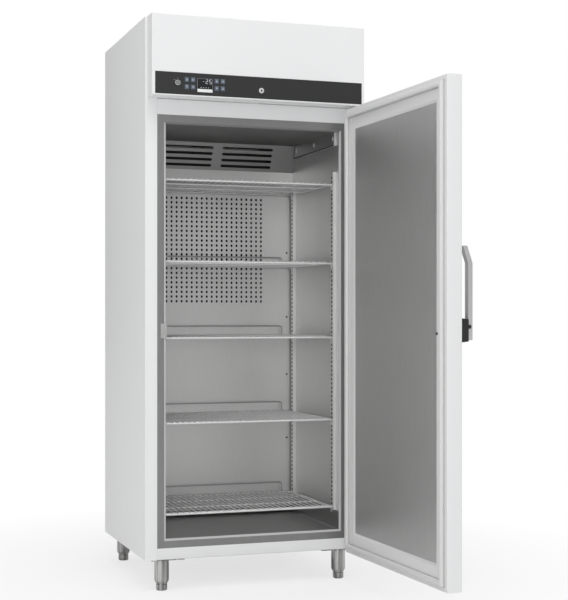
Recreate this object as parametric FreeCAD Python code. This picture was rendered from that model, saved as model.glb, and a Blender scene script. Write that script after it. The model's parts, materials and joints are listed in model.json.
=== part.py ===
import FreeCAD, Part
import math
import os

os.makedirs("parts", exist_ok=True)

Vec = FreeCAD.Vector

# An upright laboratory freezer with one door, five wire shelves and its cooling unit on top.
# Millimetres. +Z is up, +X is the hinge side, -Y is the front.
# The origin lies on the floor, in the middle of the four feet.
# Door pieces are drawn with the door closed, then swung open to the angle that it stands at.

# Cabinet, outer sizes
cab_w = 790.0
cab_d = 676.0
casing_bottom = 109.0
head_h = 278.0
sheet = 1.0
bend_r = 3.0
fit_gap = 0.3

# White front frame round the opening
side_flange = 42.0
base_flange = 40.0
mouth_h = 1497.0
lintel_h = 55.0

# Grey collar, its light edge trim and the steel liner
collar_w = 25.0
collar_tuck = 4.0
trim_w = 7.0
trim_lip = 4.0
trim_depth = 6.0
trim_bevel = 3.5
rear_wall = 68.0

# Head of the cabinet: fascia and control strip
fascia_inset = 7.0
fascia_projection = 69.3
strip_w = 756.0
strip_h = 75.0
strip_x = 1.0
strip_above_fascia = 5.5
strip_t = 5.0
strip_proud = 0.5

# Controls on the strip
cluster_from_end = 175.0
cluster_above_strip = 39.3
display_w = 55.0
display_h = 48.0
display_drop = 5.0
display_t = 3.0
key_w = 16.0
key_h = 17.0
key_t = 2.7
key_travel = 0.8
key_pitch_x = 22.0
key_pitch_z = 25.0
key_group_x = 53.0
switch_from_end = 79.0
switch_above_strip = 39.5
switch_r = 7.0
switch_ring_r = 9.5
lock_from_middle = 1.0
lock_above_strip = 28.2
lock_r = 7.0
lock_ring_r = 9.5
barrel_flange = 1.5
lock_case_d = 22.0
bolt_w = 8.0
bolt_from_lock = 18.0
bolt_back = 12.3
bolt_len = 46.0

# Back wall of the chamber: louvred cover and pierced duct panel
duct_depth = 100.0
duct_lift = 23.0
cover_h = 101.0
cover_lean = 48.5
hole_field_x = 384.0
hole_field_z = 398.0
hole_field_drop = 111.0
hole_columns = 5
hole_rows = 6
hole_side = 25.0
louvre_rows = 4
louvre_pitch = 24.0
louvre_first = 19.2
louvre_h = 9.0
louvre_len = 204.0
louvre_gap = 38.0
louvre_middle = 4.0
rail_depth = 8.0
rail_h = 48.0
rail_wall = 1.2
rail_clip_t = 2.5

# Shelf standards, clips and shelves
standard_w = 25.0
standard_t = 12.0
standard_wall = 1.2
standard_front = 44.5
standard_from_duct = 33.0
standard_lift = 68.0
standard_drop = 143.0
slot_pitch = 156.0
slot_w = 12.0
slot_h = 6.0
shelf_shares = [0.0555, 0.2755, 0.4827, 0.669, 0.8674]
shelf_side_gap = 2.0
shelf_front = 45.0
shelf_from_duct = 13.0
front_rod = 7.0
frame_rod = 6.0
wire = 3.0
wire_pitch = 21.0
wire_pairs = 14
stop_wire = 4.0
stop_rise = 36.0
stop_x = 273.0
clip_reach = 13.0
clip_w = 10.0
clip_leg = 14.0

# Legs and levelling feet
leg_inset_x = 66.0
leg_inset_y = 33.0
leg_r = 25.0
leg_taper_top = 35.0
leg_taper_bottom = 25.0
leg_neck_r = 20.0
foot_r = 19.5
foot_base_r = 16.0
foot_stem_r = 8.0
foot_stem = 48.0
foot_round = 4.5
leg_plate_x = 120.0
leg_plate_y = 90.0
leg_plate_t = 3.0
leg_plate_shift = 15.0

# Door
door_inset = 7.0
door_below_casing = 2.0
door_below_fascia = 13.0
door_t = 52.0
door_gap = 14.5
door_lip = 15.0
door_open_deg = 91.5
hinge_from_edge = 16.0
hinge_from_face = 8.0
hinge_pin_r = 5.0
hinge_plate_t = 4.0
hinge_gap = 1.5
pin_reach = 14.0
bracket_in = 14.0
bracket_out = 12.0
bracket_tab = 3.0
frame_band = 77.0
frame_bevel = 9.0
frame_depth = 10.0
panel_recess = 4.0
gasket_inset = 17.0
gasket_w = 17.0

# Handle
handle_inset = 65.5
handle_pin_z = 917.0
handle_pin_r = 3.0
bar_below_pin = 42.0
bar_to_bend = 198.5
bar_to_tip = 252.0
bar_w = 22.0
bar_t = 15.4
bar_offset = 50.0
bar_bend_in = 18.5
base_below_pin = 51.0
base_above_pin = 29.0
base_taper = 5.0
base_ear = 3.0
ear_high = 6.0
ear_reach = 9.5
pin_in_bar = 5.0
pocket_depth = 22.0
plunger_r = 4.0
plunger_below_pin = 21.0
plunger_proud = 4.5
keeper_inset = 13.0
keeper_w = 21.0
keeper_h = 50.0
keeper_t = 1.2

# Cooling unit on the deck
compressor_r = 85.0
compressor_h = 185.0
compressor_x = 240.0
compressor_y = 80.0
pot_dome = 30.0
pot_foot_h = 12.0
pot_foot_w = 18.0
pot_foot_x = 80.0
pot_foot_y = 55.0
pot_plate_x = 190.0
pot_plate_y = 140.0
pot_plate_t = 6.0
pot_above_foot = 4.0
coil_w = 300.0
coil_h = 220.0
coil_d = 60.0
coil_x = -130.0
coil_y = 120.0
coil_lift = 8.0
end_plate = 2.0
end_plate_lip = 4.0
fan_r = 95.0
fan_hub_r = 22.0
fan_clear = 5.0
fan_depth = 26.0
fan_motor_l = 40.0
fan_strut_w = 16.0
fan_strut_t = 4.0
pipe_r = 5.0
pipe_bend = 12.0
pipe_rise = 30.0
pipe_inlet_h = 190.0
drier_r = 14.0
drier_len = 60.0
drier_h = 40.0

# Air circulation behind the louvred cover
evaporator_w = 480.0
evaporator_h = 350.0
evaporator_drop = 127.0
evaporator_gap = 10.0
header_reach = 30.0
fan_plate_drop = 87.0
fan_plate_t = 1.5
small_fan_r = 42.0
small_fan_hub_r = 16.0
small_fan_x = 130.0
small_fan_depth = 20.0
small_motor_l = 18.0
small_strut_x = 60.0
small_strut_w = 8.0
small_strut_drop = 12.0
small_strut_t = 3.0

# Mains inlet and the vents of the machine space
inlet_w = 48.0
inlet_h = 28.0
inlet_d = 30.0
inlet_x = 300.0
inlet_above_deck = 30.0
vent_x = 360.0
vent_above_deck = 60.0
vent_below_top = 16.0
vent_overlap = 8.0
vent_slot = 14.0
lid_slot_x = 84.0
lid_slot_y = 8.0

# Worked out from the sizes above
half_w = cab_w / 2
front = -cab_d / 2
back = cab_d / 2
collar_front = front + sheet
collar_x = half_w - side_flange
collar_bottom = casing_bottom + base_flange
collar_top = collar_bottom + mouth_h
deck_top = collar_top + lintel_h
casing_top = deck_top + head_h
opening_x = collar_x - collar_w
opening_low = collar_bottom + collar_w
opening_high = collar_top - collar_w
liner_x = opening_x - trim_w + trim_lip
liner_low = opening_low + trim_w - trim_lip
liner_high = opening_high - trim_w + trim_lip
liner_front = collar_front + trim_depth
liner_back = back - rear_wall
duct_face = liner_back - duct_depth
duct_bottom = liner_low + duct_lift
duct_top = liner_high - cover_h
cover_top_y = duct_face - cover_lean
fascia_x = half_w - fascia_inset
fascia_front = front - fascia_projection
strip_low = deck_top + strip_above_fascia
strip_front = fascia_front - strip_proud
strip_end = strip_x - strip_w / 2
cluster_x = strip_end + cluster_from_end
cluster_z = strip_low + cluster_above_strip
switch_x = strip_end + switch_from_end
switch_z = strip_low + switch_above_strip
lock_x = strip_x + lock_from_middle
lock_z = strip_low + lock_above_strip
bolt_y = fascia_front + bolt_back
standard_face = liner_x - standard_t
standard_bottom = liner_low + standard_lift
standard_top = liner_high - standard_drop
standard_ys = (front + standard_front, duct_face - standard_from_duct)
shelf_half = standard_face - shelf_side_gap
shelf_y = front + shelf_front
shelf_depth = duct_face - shelf_from_duct - shelf_y
shelf_heights = [liner_low + share * (liner_high - liner_low) for share in shelf_shares]
leg_x = half_w - leg_inset_x
leg_y = cab_d / 2 - leg_inset_y
door_x = half_w - door_inset
door_bottom = casing_bottom - door_below_casing
door_top = deck_top - door_below_fascia
door_inner = front - door_gap
door_outer = door_inner - door_t
hinge_x = door_x - hinge_from_edge
hinge_y = door_outer + hinge_from_face
handle_x = -door_x + handle_inset
plunger_z = handle_pin_z - plunger_below_pin
fan_plate_z = duct_top - fan_plate_drop
evaporator_high = duct_top - evaporator_drop
evaporator_low = evaporator_high - evaporator_h
coil_middle = deck_top + coil_lift + (coil_h - coil_lift) / 2
vent_low = deck_top + vent_above_deck
vent_high = casing_top - vent_below_top
inlet_xs = (inlet_x - inlet_w / 2, inlet_x + inlet_w / 2)
inlet_z = deck_top + inlet_above_deck
inlet_zs = (inlet_z - inlet_h / 2, inlet_z + inlet_h / 2)


def block(xs, ys, zs):
    """A box between pairs of limits."""
    size = [high - low for low, high in (xs, ys, zs)]
    return Part.makeBox(size[0], size[1], size[2], Vec(xs[0], ys[0], zs[0]))


def both_sides(shape):
    """A shape and its mirror image on the other side of the cabinet, as two solids."""
    return [shape, shape.mirror(Vec(0, 0, 0), Vec(1, 0, 0))]


def prism(corners, along):
    """A flat outline of corner points, pushed along a vector."""
    wire_loop = Part.makePolygon(corners + corners[:1])
    return Part.Face(wire_loop).extrude(along)


def bar_along_x(sides, across, y, z, x0, x1):
    """A straight rod from x0 to x1 with a many-sided section, flat on top."""
    return prism([Vec(x0, y + a, z + b) for a, b in section(sides, across)], Vec(x1 - x0, 0, 0))


def bar_along_y(sides, across, x, z, y0, y1):
    """A straight rod from y0 to y1 with a many-sided section, flat on top."""
    return prism([Vec(x + a, y0, z + b) for a, b in section(sides, across)], Vec(0, y1 - y0, 0))


def section(sides, across):
    """Corner points of a regular outline, by its width across flats, with a flat on top."""
    radius = across / 2 / math.cos(math.pi / sides)
    turns = [math.pi * (0.5 + (2 * k + 1) / sides) for k in range(sides)]
    return [(radius * math.cos(t), radius * math.sin(t)) for t in turns]


def mitred_ring(profile, half, low, high, face, inward=1.0):
    """A closed frame with mitred corners. The profile gives (inset, depth behind the face) points."""
    loops = []
    for inset, depth in profile:
        x = half - inset
        y = face + inward * depth
        bottom = low + inset
        top = high - inset
        loops.append([Vec(-x, y, bottom), Vec(x, y, bottom), Vec(x, y, top), Vec(-x, y, top)])
    return skinned(loops + loops[:1])


def faceted(points, sides, x=0.0, y=0.0, bored=False):
    """A many-sided piece about an upright line. Points are (radius, height); a bored one is a ring."""
    loops = []
    for radius, z in points:
        turns = [2 * math.pi * (k + 0.5) / sides for k in range(sides)]
        loops.append([Vec(x + radius * math.cos(t), y + radius * math.sin(t), z) for t in turns])
    return skinned(loops + loops[:1]) if bored else skinned(loops, True)


def skinned(loops, capped=False):
    """A solid whose flat four-cornered faces join each loop of points to the next."""
    faces = []
    for loop, other in zip(loops, loops[1:]):
        for k in range(len(loop)):
            j = (k + 1) % len(loop)
            faces.append(Part.Face(Part.makePolygon([loop[k], loop[j], other[j], other[k], loop[k]])))
    if capped:
        faces.append(Part.Face(Part.makePolygon(loops[0] + loops[0][:1])))
        faces.append(Part.Face(Part.makePolygon(loops[-1] + loops[-1][:1])))
    shell = Part.makeShell(faces)
    shell.sewShape()
    solid = Part.makeSolid(shell)
    if solid.Volume < 0:
        solid.reverse()
    return solid


def upright_edges(shape, test):
    """The shape's vertical edges whose middle passes a test."""
    found = []
    for edge in shape.Edges:
        low, high = edge.BoundBox.ZMin, edge.BoundBox.ZMax
        if high - low > 0.5 and edge.BoundBox.DiagonalLength < high - low + 0.01 and test(edge.CenterOfMass):
            found.append(edge)
    return found


def rounded_box(xs, ys, zs, radius, test):
    """A box whose vertical edges that pass a test are rounded."""
    shape = block(xs, ys, zs)
    return shape.makeFillet(radius, upright_edges(shape, test))


def swing(shape):
    """A closed-door shape, turned about the hinge pins to where the door stands open."""
    turned = shape.copy()
    turned.rotate(Vec(hinge_x, hinge_y, 0), Vec(0, 0, 1), door_open_deg)
    return turned


def save(name, solids):
    """Write one node as a STEP file."""
    shape = solids[0] if len(solids) == 1 else Part.makeCompound(solids)
    shape.exportStep("parts/" + name + ".step")


def outer_casing():
    """One wrapped sheet: both sides, the back and the two front flanges."""
    outer = rounded_box((-half_w, half_w), (front, back), (casing_bottom, casing_top), bend_r, lambda p: True)
    inner_x = half_w - sheet
    inner = rounded_box(
        (-inner_x, inner_x), (front + sheet, back - sheet), (casing_bottom - 1, casing_top + 1),
        bend_r - sheet, lambda p: True)
    mouth = block((-collar_x, collar_x), (front - 1, front + sheet + 1), (casing_bottom - 1, casing_top + 1))
    window = block((-vent_x, vent_x), (back - sheet - 1, back + 1), (vent_low, vent_high))
    inlet = block(inlet_xs, (back - sheet - 1, back + 1), inlet_zs)
    return outer.cut(inner).cut(mouth).cut(window).cut(inlet)


def inside_casing(y0, z0, z1):
    """A slab that fills the casing from wall to wall between two heights, behind y0."""
    x = half_w - sheet
    return rounded_box((-x, x), (y0, back - sheet), (z0, z1), bend_r - sheet, lambda p: True)


def rear_grille():
    """Slotted plate behind the cooling unit, screwed to the inside of the back."""
    face = back - sheet
    xs = (-vent_x - vent_overlap, vent_x + vent_overlap)
    plate = block(xs, (face - sheet, face), (vent_low - vent_overlap, vent_high + vent_overlap))
    columns = 10
    rows = 2
    half = vent_slot / 2
    margin = vent_below_top
    pitch = (2 * vent_x - 2 * margin) / (columns - 1)
    height = (vent_high - vent_low - margin * (rows + 1)) / rows
    for row in range(rows):
        z = vent_low + margin + row * (height + margin)
        for column in range(columns):
            x = -vent_x + margin + column * pitch
            plate = plate.cut(block((x - half, x + half), (face - 2 * sheet, face + sheet), (z, z + height)))
    return plate


def mains_inlet():
    """Appliance inlet: an open box with a rim outside the back and three flat pins."""
    rim = 4.0
    wall = 2.0
    outer = block(inlet_xs, (back - inlet_d, back), inlet_zs)
    lip_x = (inlet_xs[0] - rim, inlet_xs[1] + rim)
    lip_z = (inlet_zs[0] - rim, inlet_zs[1] + rim)
    lip = block(lip_x, (back, back + wall), lip_z)
    hollow_x = (inlet_xs[0] + wall, inlet_xs[1] - wall)
    hollow_z = (inlet_zs[0] + wall, inlet_zs[1] - wall)
    body = outer.fuse(lip).cut(block(hollow_x, (back - inlet_d + wall, back + wall), hollow_z))
    for dx, dz in ((-inlet_w / 5, -inlet_h / 9), (0.0, inlet_h / 9), (inlet_w / 5, -inlet_h / 9)):
        x = inlet_x + dx
        z = inlet_z + dz
        ys = (back - inlet_d + wall, back - rim)
        body = body.fuse(block((x - 1, x + 1), ys, (z - rim / 2, z + rim / 2)))
    return body


def base_panel():
    """Bottom pan with its upright front flange between the side flanges."""
    plate = inside_casing(front + sheet, casing_bottom, casing_bottom + sheet)
    flange = block((-collar_x, collar_x), (front, front + sheet), (casing_bottom, collar_bottom))
    return plate.fuse(flange).removeSplitter()


def machine_deck():
    """Deck over the insulation, with the lintel strip bent down at its front."""
    plate = inside_casing(front + sheet, deck_top - sheet, deck_top)
    lintel = block((-collar_x, collar_x), (front, front + sheet), (collar_top, deck_top))
    return plate.fuse(lintel).removeSplitter()


def top_cover():
    """Lid over the cooling unit, with two rows of warm-air slots near the back."""
    plate = inside_casing(front + sheet, casing_top - sheet, casing_top)
    columns = 6
    half = lid_slot_x / 2
    pitch = lid_slot_x * 1.3
    zs = (casing_top - 2 * sheet, casing_top + sheet)
    for row in range(2):
        y = back - lid_slot_y * (9 + 3 * row)
        for column in range(columns):
            cx = (column - (columns - 1) / 2) * pitch
            plate = plate.cut(block((cx - half, cx + half), (y, y + lid_slot_y), zs))
    return plate


def cabinet_insulation():
    """Foam that fills the walls between casing and liner."""
    foam = inside_casing(collar_front + sheet, casing_bottom + sheet, deck_top - sheet)
    wide = liner_x + sheet
    chamber = block((-wide, wide), (front, liner_back + sheet), (liner_low - sheet, liner_high + sheet))
    mouth = block((-opening_x, opening_x), (front, liner_front), (opening_low, opening_high))
    return foam.cut(chamber).cut(mouth)


def inner_liner():
    """Steel chamber, open at the front."""
    wide = liner_x + sheet
    outer = block((-wide, wide), (liner_front, liner_back + sheet), (liner_low - sheet, liner_high + sheet))
    hollow = block((-liner_x, liner_x), (liner_front - 1, liner_back), (liner_low, liner_high))
    return outer.cut(hollow)


def front_collar():
    """Grey sheet ring between the white frame and the opening, tucked behind the frame's edge."""
    profile = [(-collar_tuck, 0.0), (collar_w, 0.0), (collar_w, sheet), (-collar_tuck, sheet)]
    return mitred_ring(profile, collar_x, collar_bottom, collar_top, collar_front)


def collar_trim():
    """Light bevelled edging round the opening; it covers the liner's front edge."""
    profile = [(0.0, 0.0), (trim_w, trim_bevel), (trim_w, trim_depth), (0.0, trim_depth)]
    return mitred_ring(profile, opening_x, opening_low, opening_high, collar_front)


def top_fascia():
    """Folded box over the cooling unit's front, with a window for the control strip."""
    front_edges = lambda p: p.y < fascia_front + 1
    outer = rounded_box(
        (-fascia_x, fascia_x), (fascia_front, front), (deck_top, casing_top), bend_r, front_edges)
    inner_x = fascia_x - sheet
    inner_front = fascia_front + sheet
    inner = rounded_box(
        (-inner_x, inner_x), (inner_front, front + 1), (deck_top + sheet, casing_top - sheet),
        bend_r - sheet, lambda p: p.y < inner_front + 1)
    gap = fit_gap
    window = block(
        (strip_x - strip_w / 2 - gap, strip_x + strip_w / 2 + gap), (fascia_front - 1, inner_front + 1),
        (strip_low - gap, strip_low + strip_h + gap))
    bolt_hole = block(
        (lock_x - bolt_from_lock - bolt_w / 2 - 1, lock_x - bolt_from_lock + bolt_w / 2 + 1),
        (bolt_y - bolt_w / 2 - 1, bolt_y + bolt_w / 2 + 1), (deck_top - 1, deck_top + sheet + 1))
    return outer.cut(inner).cut(window).cut(bolt_hole)


def key_centres():
    """Centres of the eight keys: two blocks of four, left and right of the display."""
    centres = []
    for group in (-1, 1):
        for row in (1, -1):
            for side in (-1, 1):
                x = cluster_x + group * key_group_x + side * key_pitch_x / 2
                centres.append((x, cluster_z + row * key_pitch_z / 2))
    return centres


def control_strip():
    """Black panel with a pocket for the display, eight key wells and two lock holes."""
    strip = block(
        (strip_x - strip_w / 2, strip_x + strip_w / 2), (strip_front, strip_front + strip_t),
        (strip_low, strip_low + strip_h))
    glass_z = cluster_z - display_drop
    strip = strip.cut(block(
        (cluster_x - display_w / 2, cluster_x + display_w / 2), (strip_front - 1, strip_front + display_t),
        (glass_z - display_h / 2, glass_z + display_h / 2)))
    well_floor = strip_front + key_t + key_travel
    for x, z in key_centres():
        strip = strip.cut(block(
            (x - key_w / 2 - fit_gap, x + key_w / 2 + fit_gap), (strip_front - 1, well_floor),
            (z - key_h / 2 - fit_gap, z + key_h / 2 + fit_gap)))
    for x, z, radius in ((switch_x, switch_z, switch_r), (lock_x, lock_z, lock_r)):
        hole = Part.makeCylinder(radius + fit_gap, strip_t + 2, Vec(x, strip_front - 1, z), Vec(0, 1, 0))
        strip = strip.cut(hole)
    return strip


def display_window():
    """Display glass, flush in its pocket."""
    z = cluster_z - display_drop
    half = display_w / 2 - fit_gap / 2
    high = display_h / 2 - fit_gap / 2
    ys = (strip_front, strip_front + display_t)
    return block((cluster_x - half, cluster_x + half), ys, (z - high, z + high))


def control_key(x, z):
    """One key cap, standing just proud of its well."""
    proud = fit_gap
    return block(
        (x - key_w / 2, x + key_w / 2), (strip_front - proud, strip_front + key_t - proud),
        (z - key_h / 2, z + key_h / 2))


def barrel(x, z, radius, ring_r, length):
    """Round lock barrel with a wide front flange and a key slot across it."""
    flange = barrel_flange
    seat = flange - 0.1
    body = faceted([(ring_r, 0), (ring_r, seat), (radius, seat), (radius, length)], 24)
    body.rotate(Vec(0, 0, 0), Vec(1, 0, 0), -90)
    body.translate(Vec(x, strip_front - flange, z))
    deep = 4 * flange
    half = radius / 10
    tall = radius / 1.8
    slot = block((x - half, x + half), (strip_front - deep, strip_front + deep), (z - tall, z + tall))
    return body.cut(slot)


def lock_case():
    """Guide block behind the strip: a bore for the barrel and a shaft for the bolt."""
    low = deck_top + sheet
    high = lock_z + 4 * lock_r
    face = strip_front + strip_t
    left = lock_x - bolt_from_lock - bolt_w
    body = block((left, lock_x + 2 * lock_r), (face, face + lock_case_d), (low, high))
    bore = Part.makeCylinder(lock_r + fit_gap, lock_case_d + 2, Vec(lock_x, face - 1, lock_z), Vec(0, 1, 0))
    guide = bolt_w / 2 + fit_gap
    shaft = block(
        (lock_x - bolt_from_lock - guide, lock_x - bolt_from_lock + guide), (bolt_y - guide, bolt_y + guide),
        (low - 1, high + 1))
    return body.cut(bore).cut(shaft)


def lock_bolt():
    """Square bolt that drops through the fascia into the top of the door."""
    half = bolt_w / 2
    x = lock_x - bolt_from_lock
    return block((x - half, x + half), (bolt_y - half, bolt_y + half), (deck_top, deck_top + bolt_len))


def louvred_cover():
    """Sloping cover at the top of the back wall, with four rows of air slots in two groups."""
    y_low = duct_face
    z_low = duct_top
    y_high = cover_top_y
    z_high = liner_high
    length = math.hypot(y_high - y_low, z_high - z_low)
    lean = math.degrees(math.atan2(y_low - y_high, z_high - z_low))
    cover = block((-liner_x, liner_x), (0, sheet), (0, length))
    for row in range(louvre_rows):
        z = louvre_first + row * louvre_pitch
        for side in (-1, 1):
            x = louvre_middle + side * (louvre_gap / 2 + louvre_len / 2)
            xs = (x - louvre_len / 2, x + louvre_len / 2)
            cover = cover.cut(block(xs, (-1, 1 + sheet), (z - louvre_h / 2, z + louvre_h / 2)))
    cover.rotate(Vec(0, 0, 0), Vec(1, 0, 0), lean)
    cover.translate(Vec(0, y_low, z_low))
    trim_block = block((-half_w, half_w), (front, back), (liner_high, liner_high + 50))
    return cover.cut(trim_block)


def duct_panel():
    """Pierced panel in front of the air duct, with side walls back to the liner."""
    x = liner_x
    outer = block((-x, x), (duct_face, liner_back), (duct_bottom, duct_top))
    within = x - sheet
    inner = block((-within, within), (duct_face + sheet, liner_back + 1), (duct_bottom - 1, duct_top + 1))
    panel = outer.cut(inner)
    pitch_x = hole_field_x / hole_columns
    pitch_z = hole_field_z / (hole_rows - 1)
    holes = []
    for column in range(hole_columns):
        cx = (column - (hole_columns - 1) / 2) * pitch_x
        for row in range(hole_rows):
            cz = duct_top - hole_field_drop - row * pitch_z
            holes.append(block(
                (cx - hole_side / 2, cx + hole_side / 2), (duct_face - 1, duct_face + sheet + 1),
                (cz - hole_side / 2, cz + hole_side / 2)))
    return panel.cut(Part.makeCompound(holes))


def ceiling_rail():
    """Shallow channel under the ceiling along the right wall, its rear end cut to the cover's slope."""
    high = liner_high
    low = high - rail_h
    y0 = front + standard_front
    slope = (duct_face - cover_top_y) / (liner_high - duct_top)
    clear = 2 * sheet
    wall = rail_wall
    rear_high = cover_top_y - clear
    rear_low = cover_top_y + rail_h * slope - clear
    outline = [Vec(0, y0, low), Vec(0, rear_low, low), Vec(0, rear_high, high), Vec(0, y0, high)]
    rail = prism(outline, Vec(rail_depth, 0, 0))
    hollow = prism(
        [Vec(wall, y0 + wall, low + wall), Vec(wall, rear_low + rail_h, low + wall),
         Vec(wall, rear_high + rail_h, high + 1), Vec(wall, y0 + wall, high + 1)], Vec(rail_depth, 0, 0))
    rail = rail.cut(hollow)
    half = rail_h / 16
    for y in (y0 + 3 * half, (y0 + rear_high) / 2, rear_high - 4 * half):
        rail = rail.fuse(block((-rail_clip_t, 0), (y - half, y + half), (low + 6 * half, low + 11 * half)))
    rail = rail.removeSplitter()
    rail.translate(Vec(liner_x - rail_depth, 0, 0))
    return rail


def evaporator_coil():
    """Finned block behind the duct panel, with two end plates and the two header pipes."""
    y0 = duct_face + sheet + evaporator_gap
    y1 = liner_back
    lip = end_plate_lip
    half = evaporator_w / 2
    solids = [block((-half, half), (y0 + lip, y1 - lip), (evaporator_low, evaporator_high))]
    zs = (evaporator_low - lip, evaporator_high + lip)
    solids += both_sides(block((half, half + end_plate), (y0, y1), zs))
    for y in (y0 + 4 * pipe_r, y1 - 4 * pipe_r):
        x = half + end_plate
        z = evaporator_high - header_reach
        solids.append(bent_pipe([Vec(x, y, z), Vec(x + header_reach, y, z)], pipe_r, 0.0))
    return solids


def fan_plate():
    """Shelf across the duct that carries both small fans; each motor hangs on two struts."""
    x = liner_x - sheet
    z = fan_plate_z
    plate = block((-x, x), (duct_face + sheet, liner_back), (z, z + fan_plate_t))
    centre_y = (duct_face + sheet + liner_back) / 2
    ys = (centre_y - small_strut_w / 2, centre_y + small_strut_w / 2)
    high = z - small_strut_drop
    low = high - small_strut_t
    for fan_x in (-small_fan_x, small_fan_x):
        ring = faceted([(small_fan_r + 2, z - 1), (small_fan_r + 2, z + 3)], 16, fan_x, centre_y)
        foot = Vec(fan_x, centre_y, high - small_motor_l)
        motor = Part.makeCylinder(small_fan_hub_r, small_motor_l, foot, Vec(0, 0, 1))
        strut = block((fan_x - small_strut_x, fan_x + small_strut_x), ys, (low, high))
        plate = plate.cut(ring).fuse(motor).fuse(strut)
        for side in (-small_strut_x, small_strut_x - small_strut_w / 2):
            plate = plate.fuse(block((fan_x + side, fan_x + side + small_strut_w / 2), ys, (low, z)))
    return plate.removeSplitter()


def bladed_rotor(hub_r, tip_r, depth, blades, blade_t, pitch_deg):
    """A rotor about +Z from z = 0: a hub and flat blades set at a pitch."""
    rotor = faceted([(hub_r, 0), (hub_r, depth)], 16)
    wide = depth * 0.85 / math.sin(math.radians(pitch_deg))
    for k in range(blades):
        blade = block((hub_r - 3, tip_r), (-blade_t / 2, blade_t / 2), (-wide / 2, wide / 2))
        blade.rotate(Vec(0, 0, 0), Vec(1, 0, 0), 90 - pitch_deg)
        blade.translate(Vec(0, 0, depth / 2))
        blade.rotate(Vec(0, 0, 0), Vec(0, 0, 1), 360.0 * k / blades)
        rotor = rotor.fuse(blade)
    return rotor


def evaporator_fan(x):
    """Small fan just above its motor, blowing up behind the louvres."""
    rotor = bladed_rotor(small_fan_hub_r, small_fan_r, small_fan_depth, 5, fan_plate_t, 35.0)
    rotor.translate(Vec(x, (duct_face + sheet + liner_back) / 2, fan_plate_z - small_strut_drop + fit_gap))
    return rotor


def standard(y0):
    """Slotted channel on the right wall; its web faces the shelves."""
    x = liner_x
    outer = block((x - standard_t, x), (y0, y0 + standard_w), (standard_bottom, standard_top))
    wall = standard_wall
    inner = block(
        (x - standard_t + wall, x + 1), (y0 + wall, y0 + standard_w - wall),
        (standard_bottom - 1, standard_top + 1))
    channel = outer.cut(inner)
    slots = []
    middle = y0 + standard_w / 2
    count = int((standard_top - standard_bottom - slot_pitch) / slot_pitch) + 1
    for k in range(count):
        z = standard_bottom + slot_pitch / 2 + k * slot_pitch
        slots.append(block(
            (x - standard_t - 1, x - standard_t + wall + 1), (middle - slot_w / 2, middle + slot_w / 2),
            (z - slot_h / 2, z + slot_h / 2)))
    return channel.cut(Part.makeCompound(slots))


def standards():
    """Front and rear standards on both walls."""
    solids = []
    for y in standard_ys:
        solids += both_sides(standard(y))
    return solids


def shelf_clips():
    """Angle clips on the standards; each shelf rests on four."""
    clips = []
    for height in shelf_heights:
        top = height + front_rod / 2 - frame_rod - fit_gap
        for y0 in standard_ys:
            y = y0 + (standard_w - clip_w) / 2
            x = standard_face
            under = top - 2 * sheet
            foot = block((x - clip_reach, x), (y, y + clip_w), (under, top))
            back_leg = block((x - 1.5 * sheet, x), (y, y + clip_w), (under - clip_leg, under))
            clips += both_sides(foot.fuse(back_leg).removeSplitter())
    return clips


def wire_shelf(height):
    """Welded grid: a frame of rods, wires from front to back on top, and a raised stop at the rear."""
    y0 = shelf_y
    y1 = y0 + shelf_depth
    top = height + front_rod / 2
    side_x = shelf_half - frame_rod / 2
    inner_x = shelf_half - frame_rod
    rod_z = top - frame_rod / 2
    solids = [bar_along_x(8, front_rod, y0, height, -shelf_half, shelf_half)]
    for x in (-side_x, side_x):
        solids.append(bar_along_y(8, frame_rod, x, rod_z, y0 + front_rod / 2, y1 + frame_rod / 2))
    for y in (y0 + 20.0, y0 + shelf_depth / 3, y0 + 2 * shelf_depth / 3, y1):
        solids.append(bar_along_x(8, frame_rod, y, rod_z, -inner_x, inner_x))
    for k in range(wire_pairs):
        x = wire_pitch * (k + 0.5)
        grid_wire = bar_along_y(4, wire, x, top + wire / 2, y0 - 1.5, y1 + 1.5)
        solids += both_sides(grid_wire)
    half = stop_wire / 2
    ys = (y1 - half, y1 + half)
    bar_z = top + stop_rise
    solids += both_sides(block((stop_x - half, stop_x + half), ys, (top, bar_z - half)))
    solids.append(block((-stop_x - half, stop_x + half), ys, (bar_z - half, bar_z + half)))
    return solids


def leg_profile():
    """Half section of a leg from its plate down to the drawn-in neck, bored for the foot's stem."""
    top = casing_bottom - leg_plate_t
    bore = foot_stem_r + 2 * fit_gap
    neck = leg_taper_bottom
    return [(bore, top), (leg_r, top), (leg_r, leg_taper_top), (leg_neck_r, neck), (bore, neck)]


def leg_places():
    """Names and centres of the four legs."""
    return [
        ("front_left", -leg_x, -leg_y), ("front_right", leg_x, -leg_y),
        ("rear_left", -leg_x, leg_y), ("rear_right", leg_x, leg_y)]


def leg_sockets():
    """Steel legs welded to plates under the base."""
    solids = []
    for name, x, y in leg_places():
        shift = -leg_plate_shift if x > 0 else leg_plate_shift
        cx = x + shift
        cy = y + leg_plate_in(y)
        plate = block(
            (cx - leg_plate_x / 2, cx + leg_plate_x / 2), (cy - leg_plate_y / 2, cy + leg_plate_y / 2),
            (casing_bottom - leg_plate_t, casing_bottom))
        solids.append(plate.fuse(faceted(leg_profile(), 16, x, y, bored=True)))
    return solids


def leg_plate_in(y):
    """How far a leg plate is set towards the middle, so that it stays under the base."""
    overhang = leg_plate_y / 2 - leg_inset_y + 2.0
    return -overhang if y > 0 else overhang


def levelling_foot(x, y):
    """Screw foot: a round-edged pad under the leg and a stem inside it."""
    top = leg_taper_bottom - fit_gap
    return faceted(
        [(foot_base_r, 0), (foot_r - 1, foot_round), (foot_r, 2 * foot_round), (foot_r, top),
         (foot_stem_r, top), (foot_stem_r, top + foot_stem)], 16, x, y)


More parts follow.
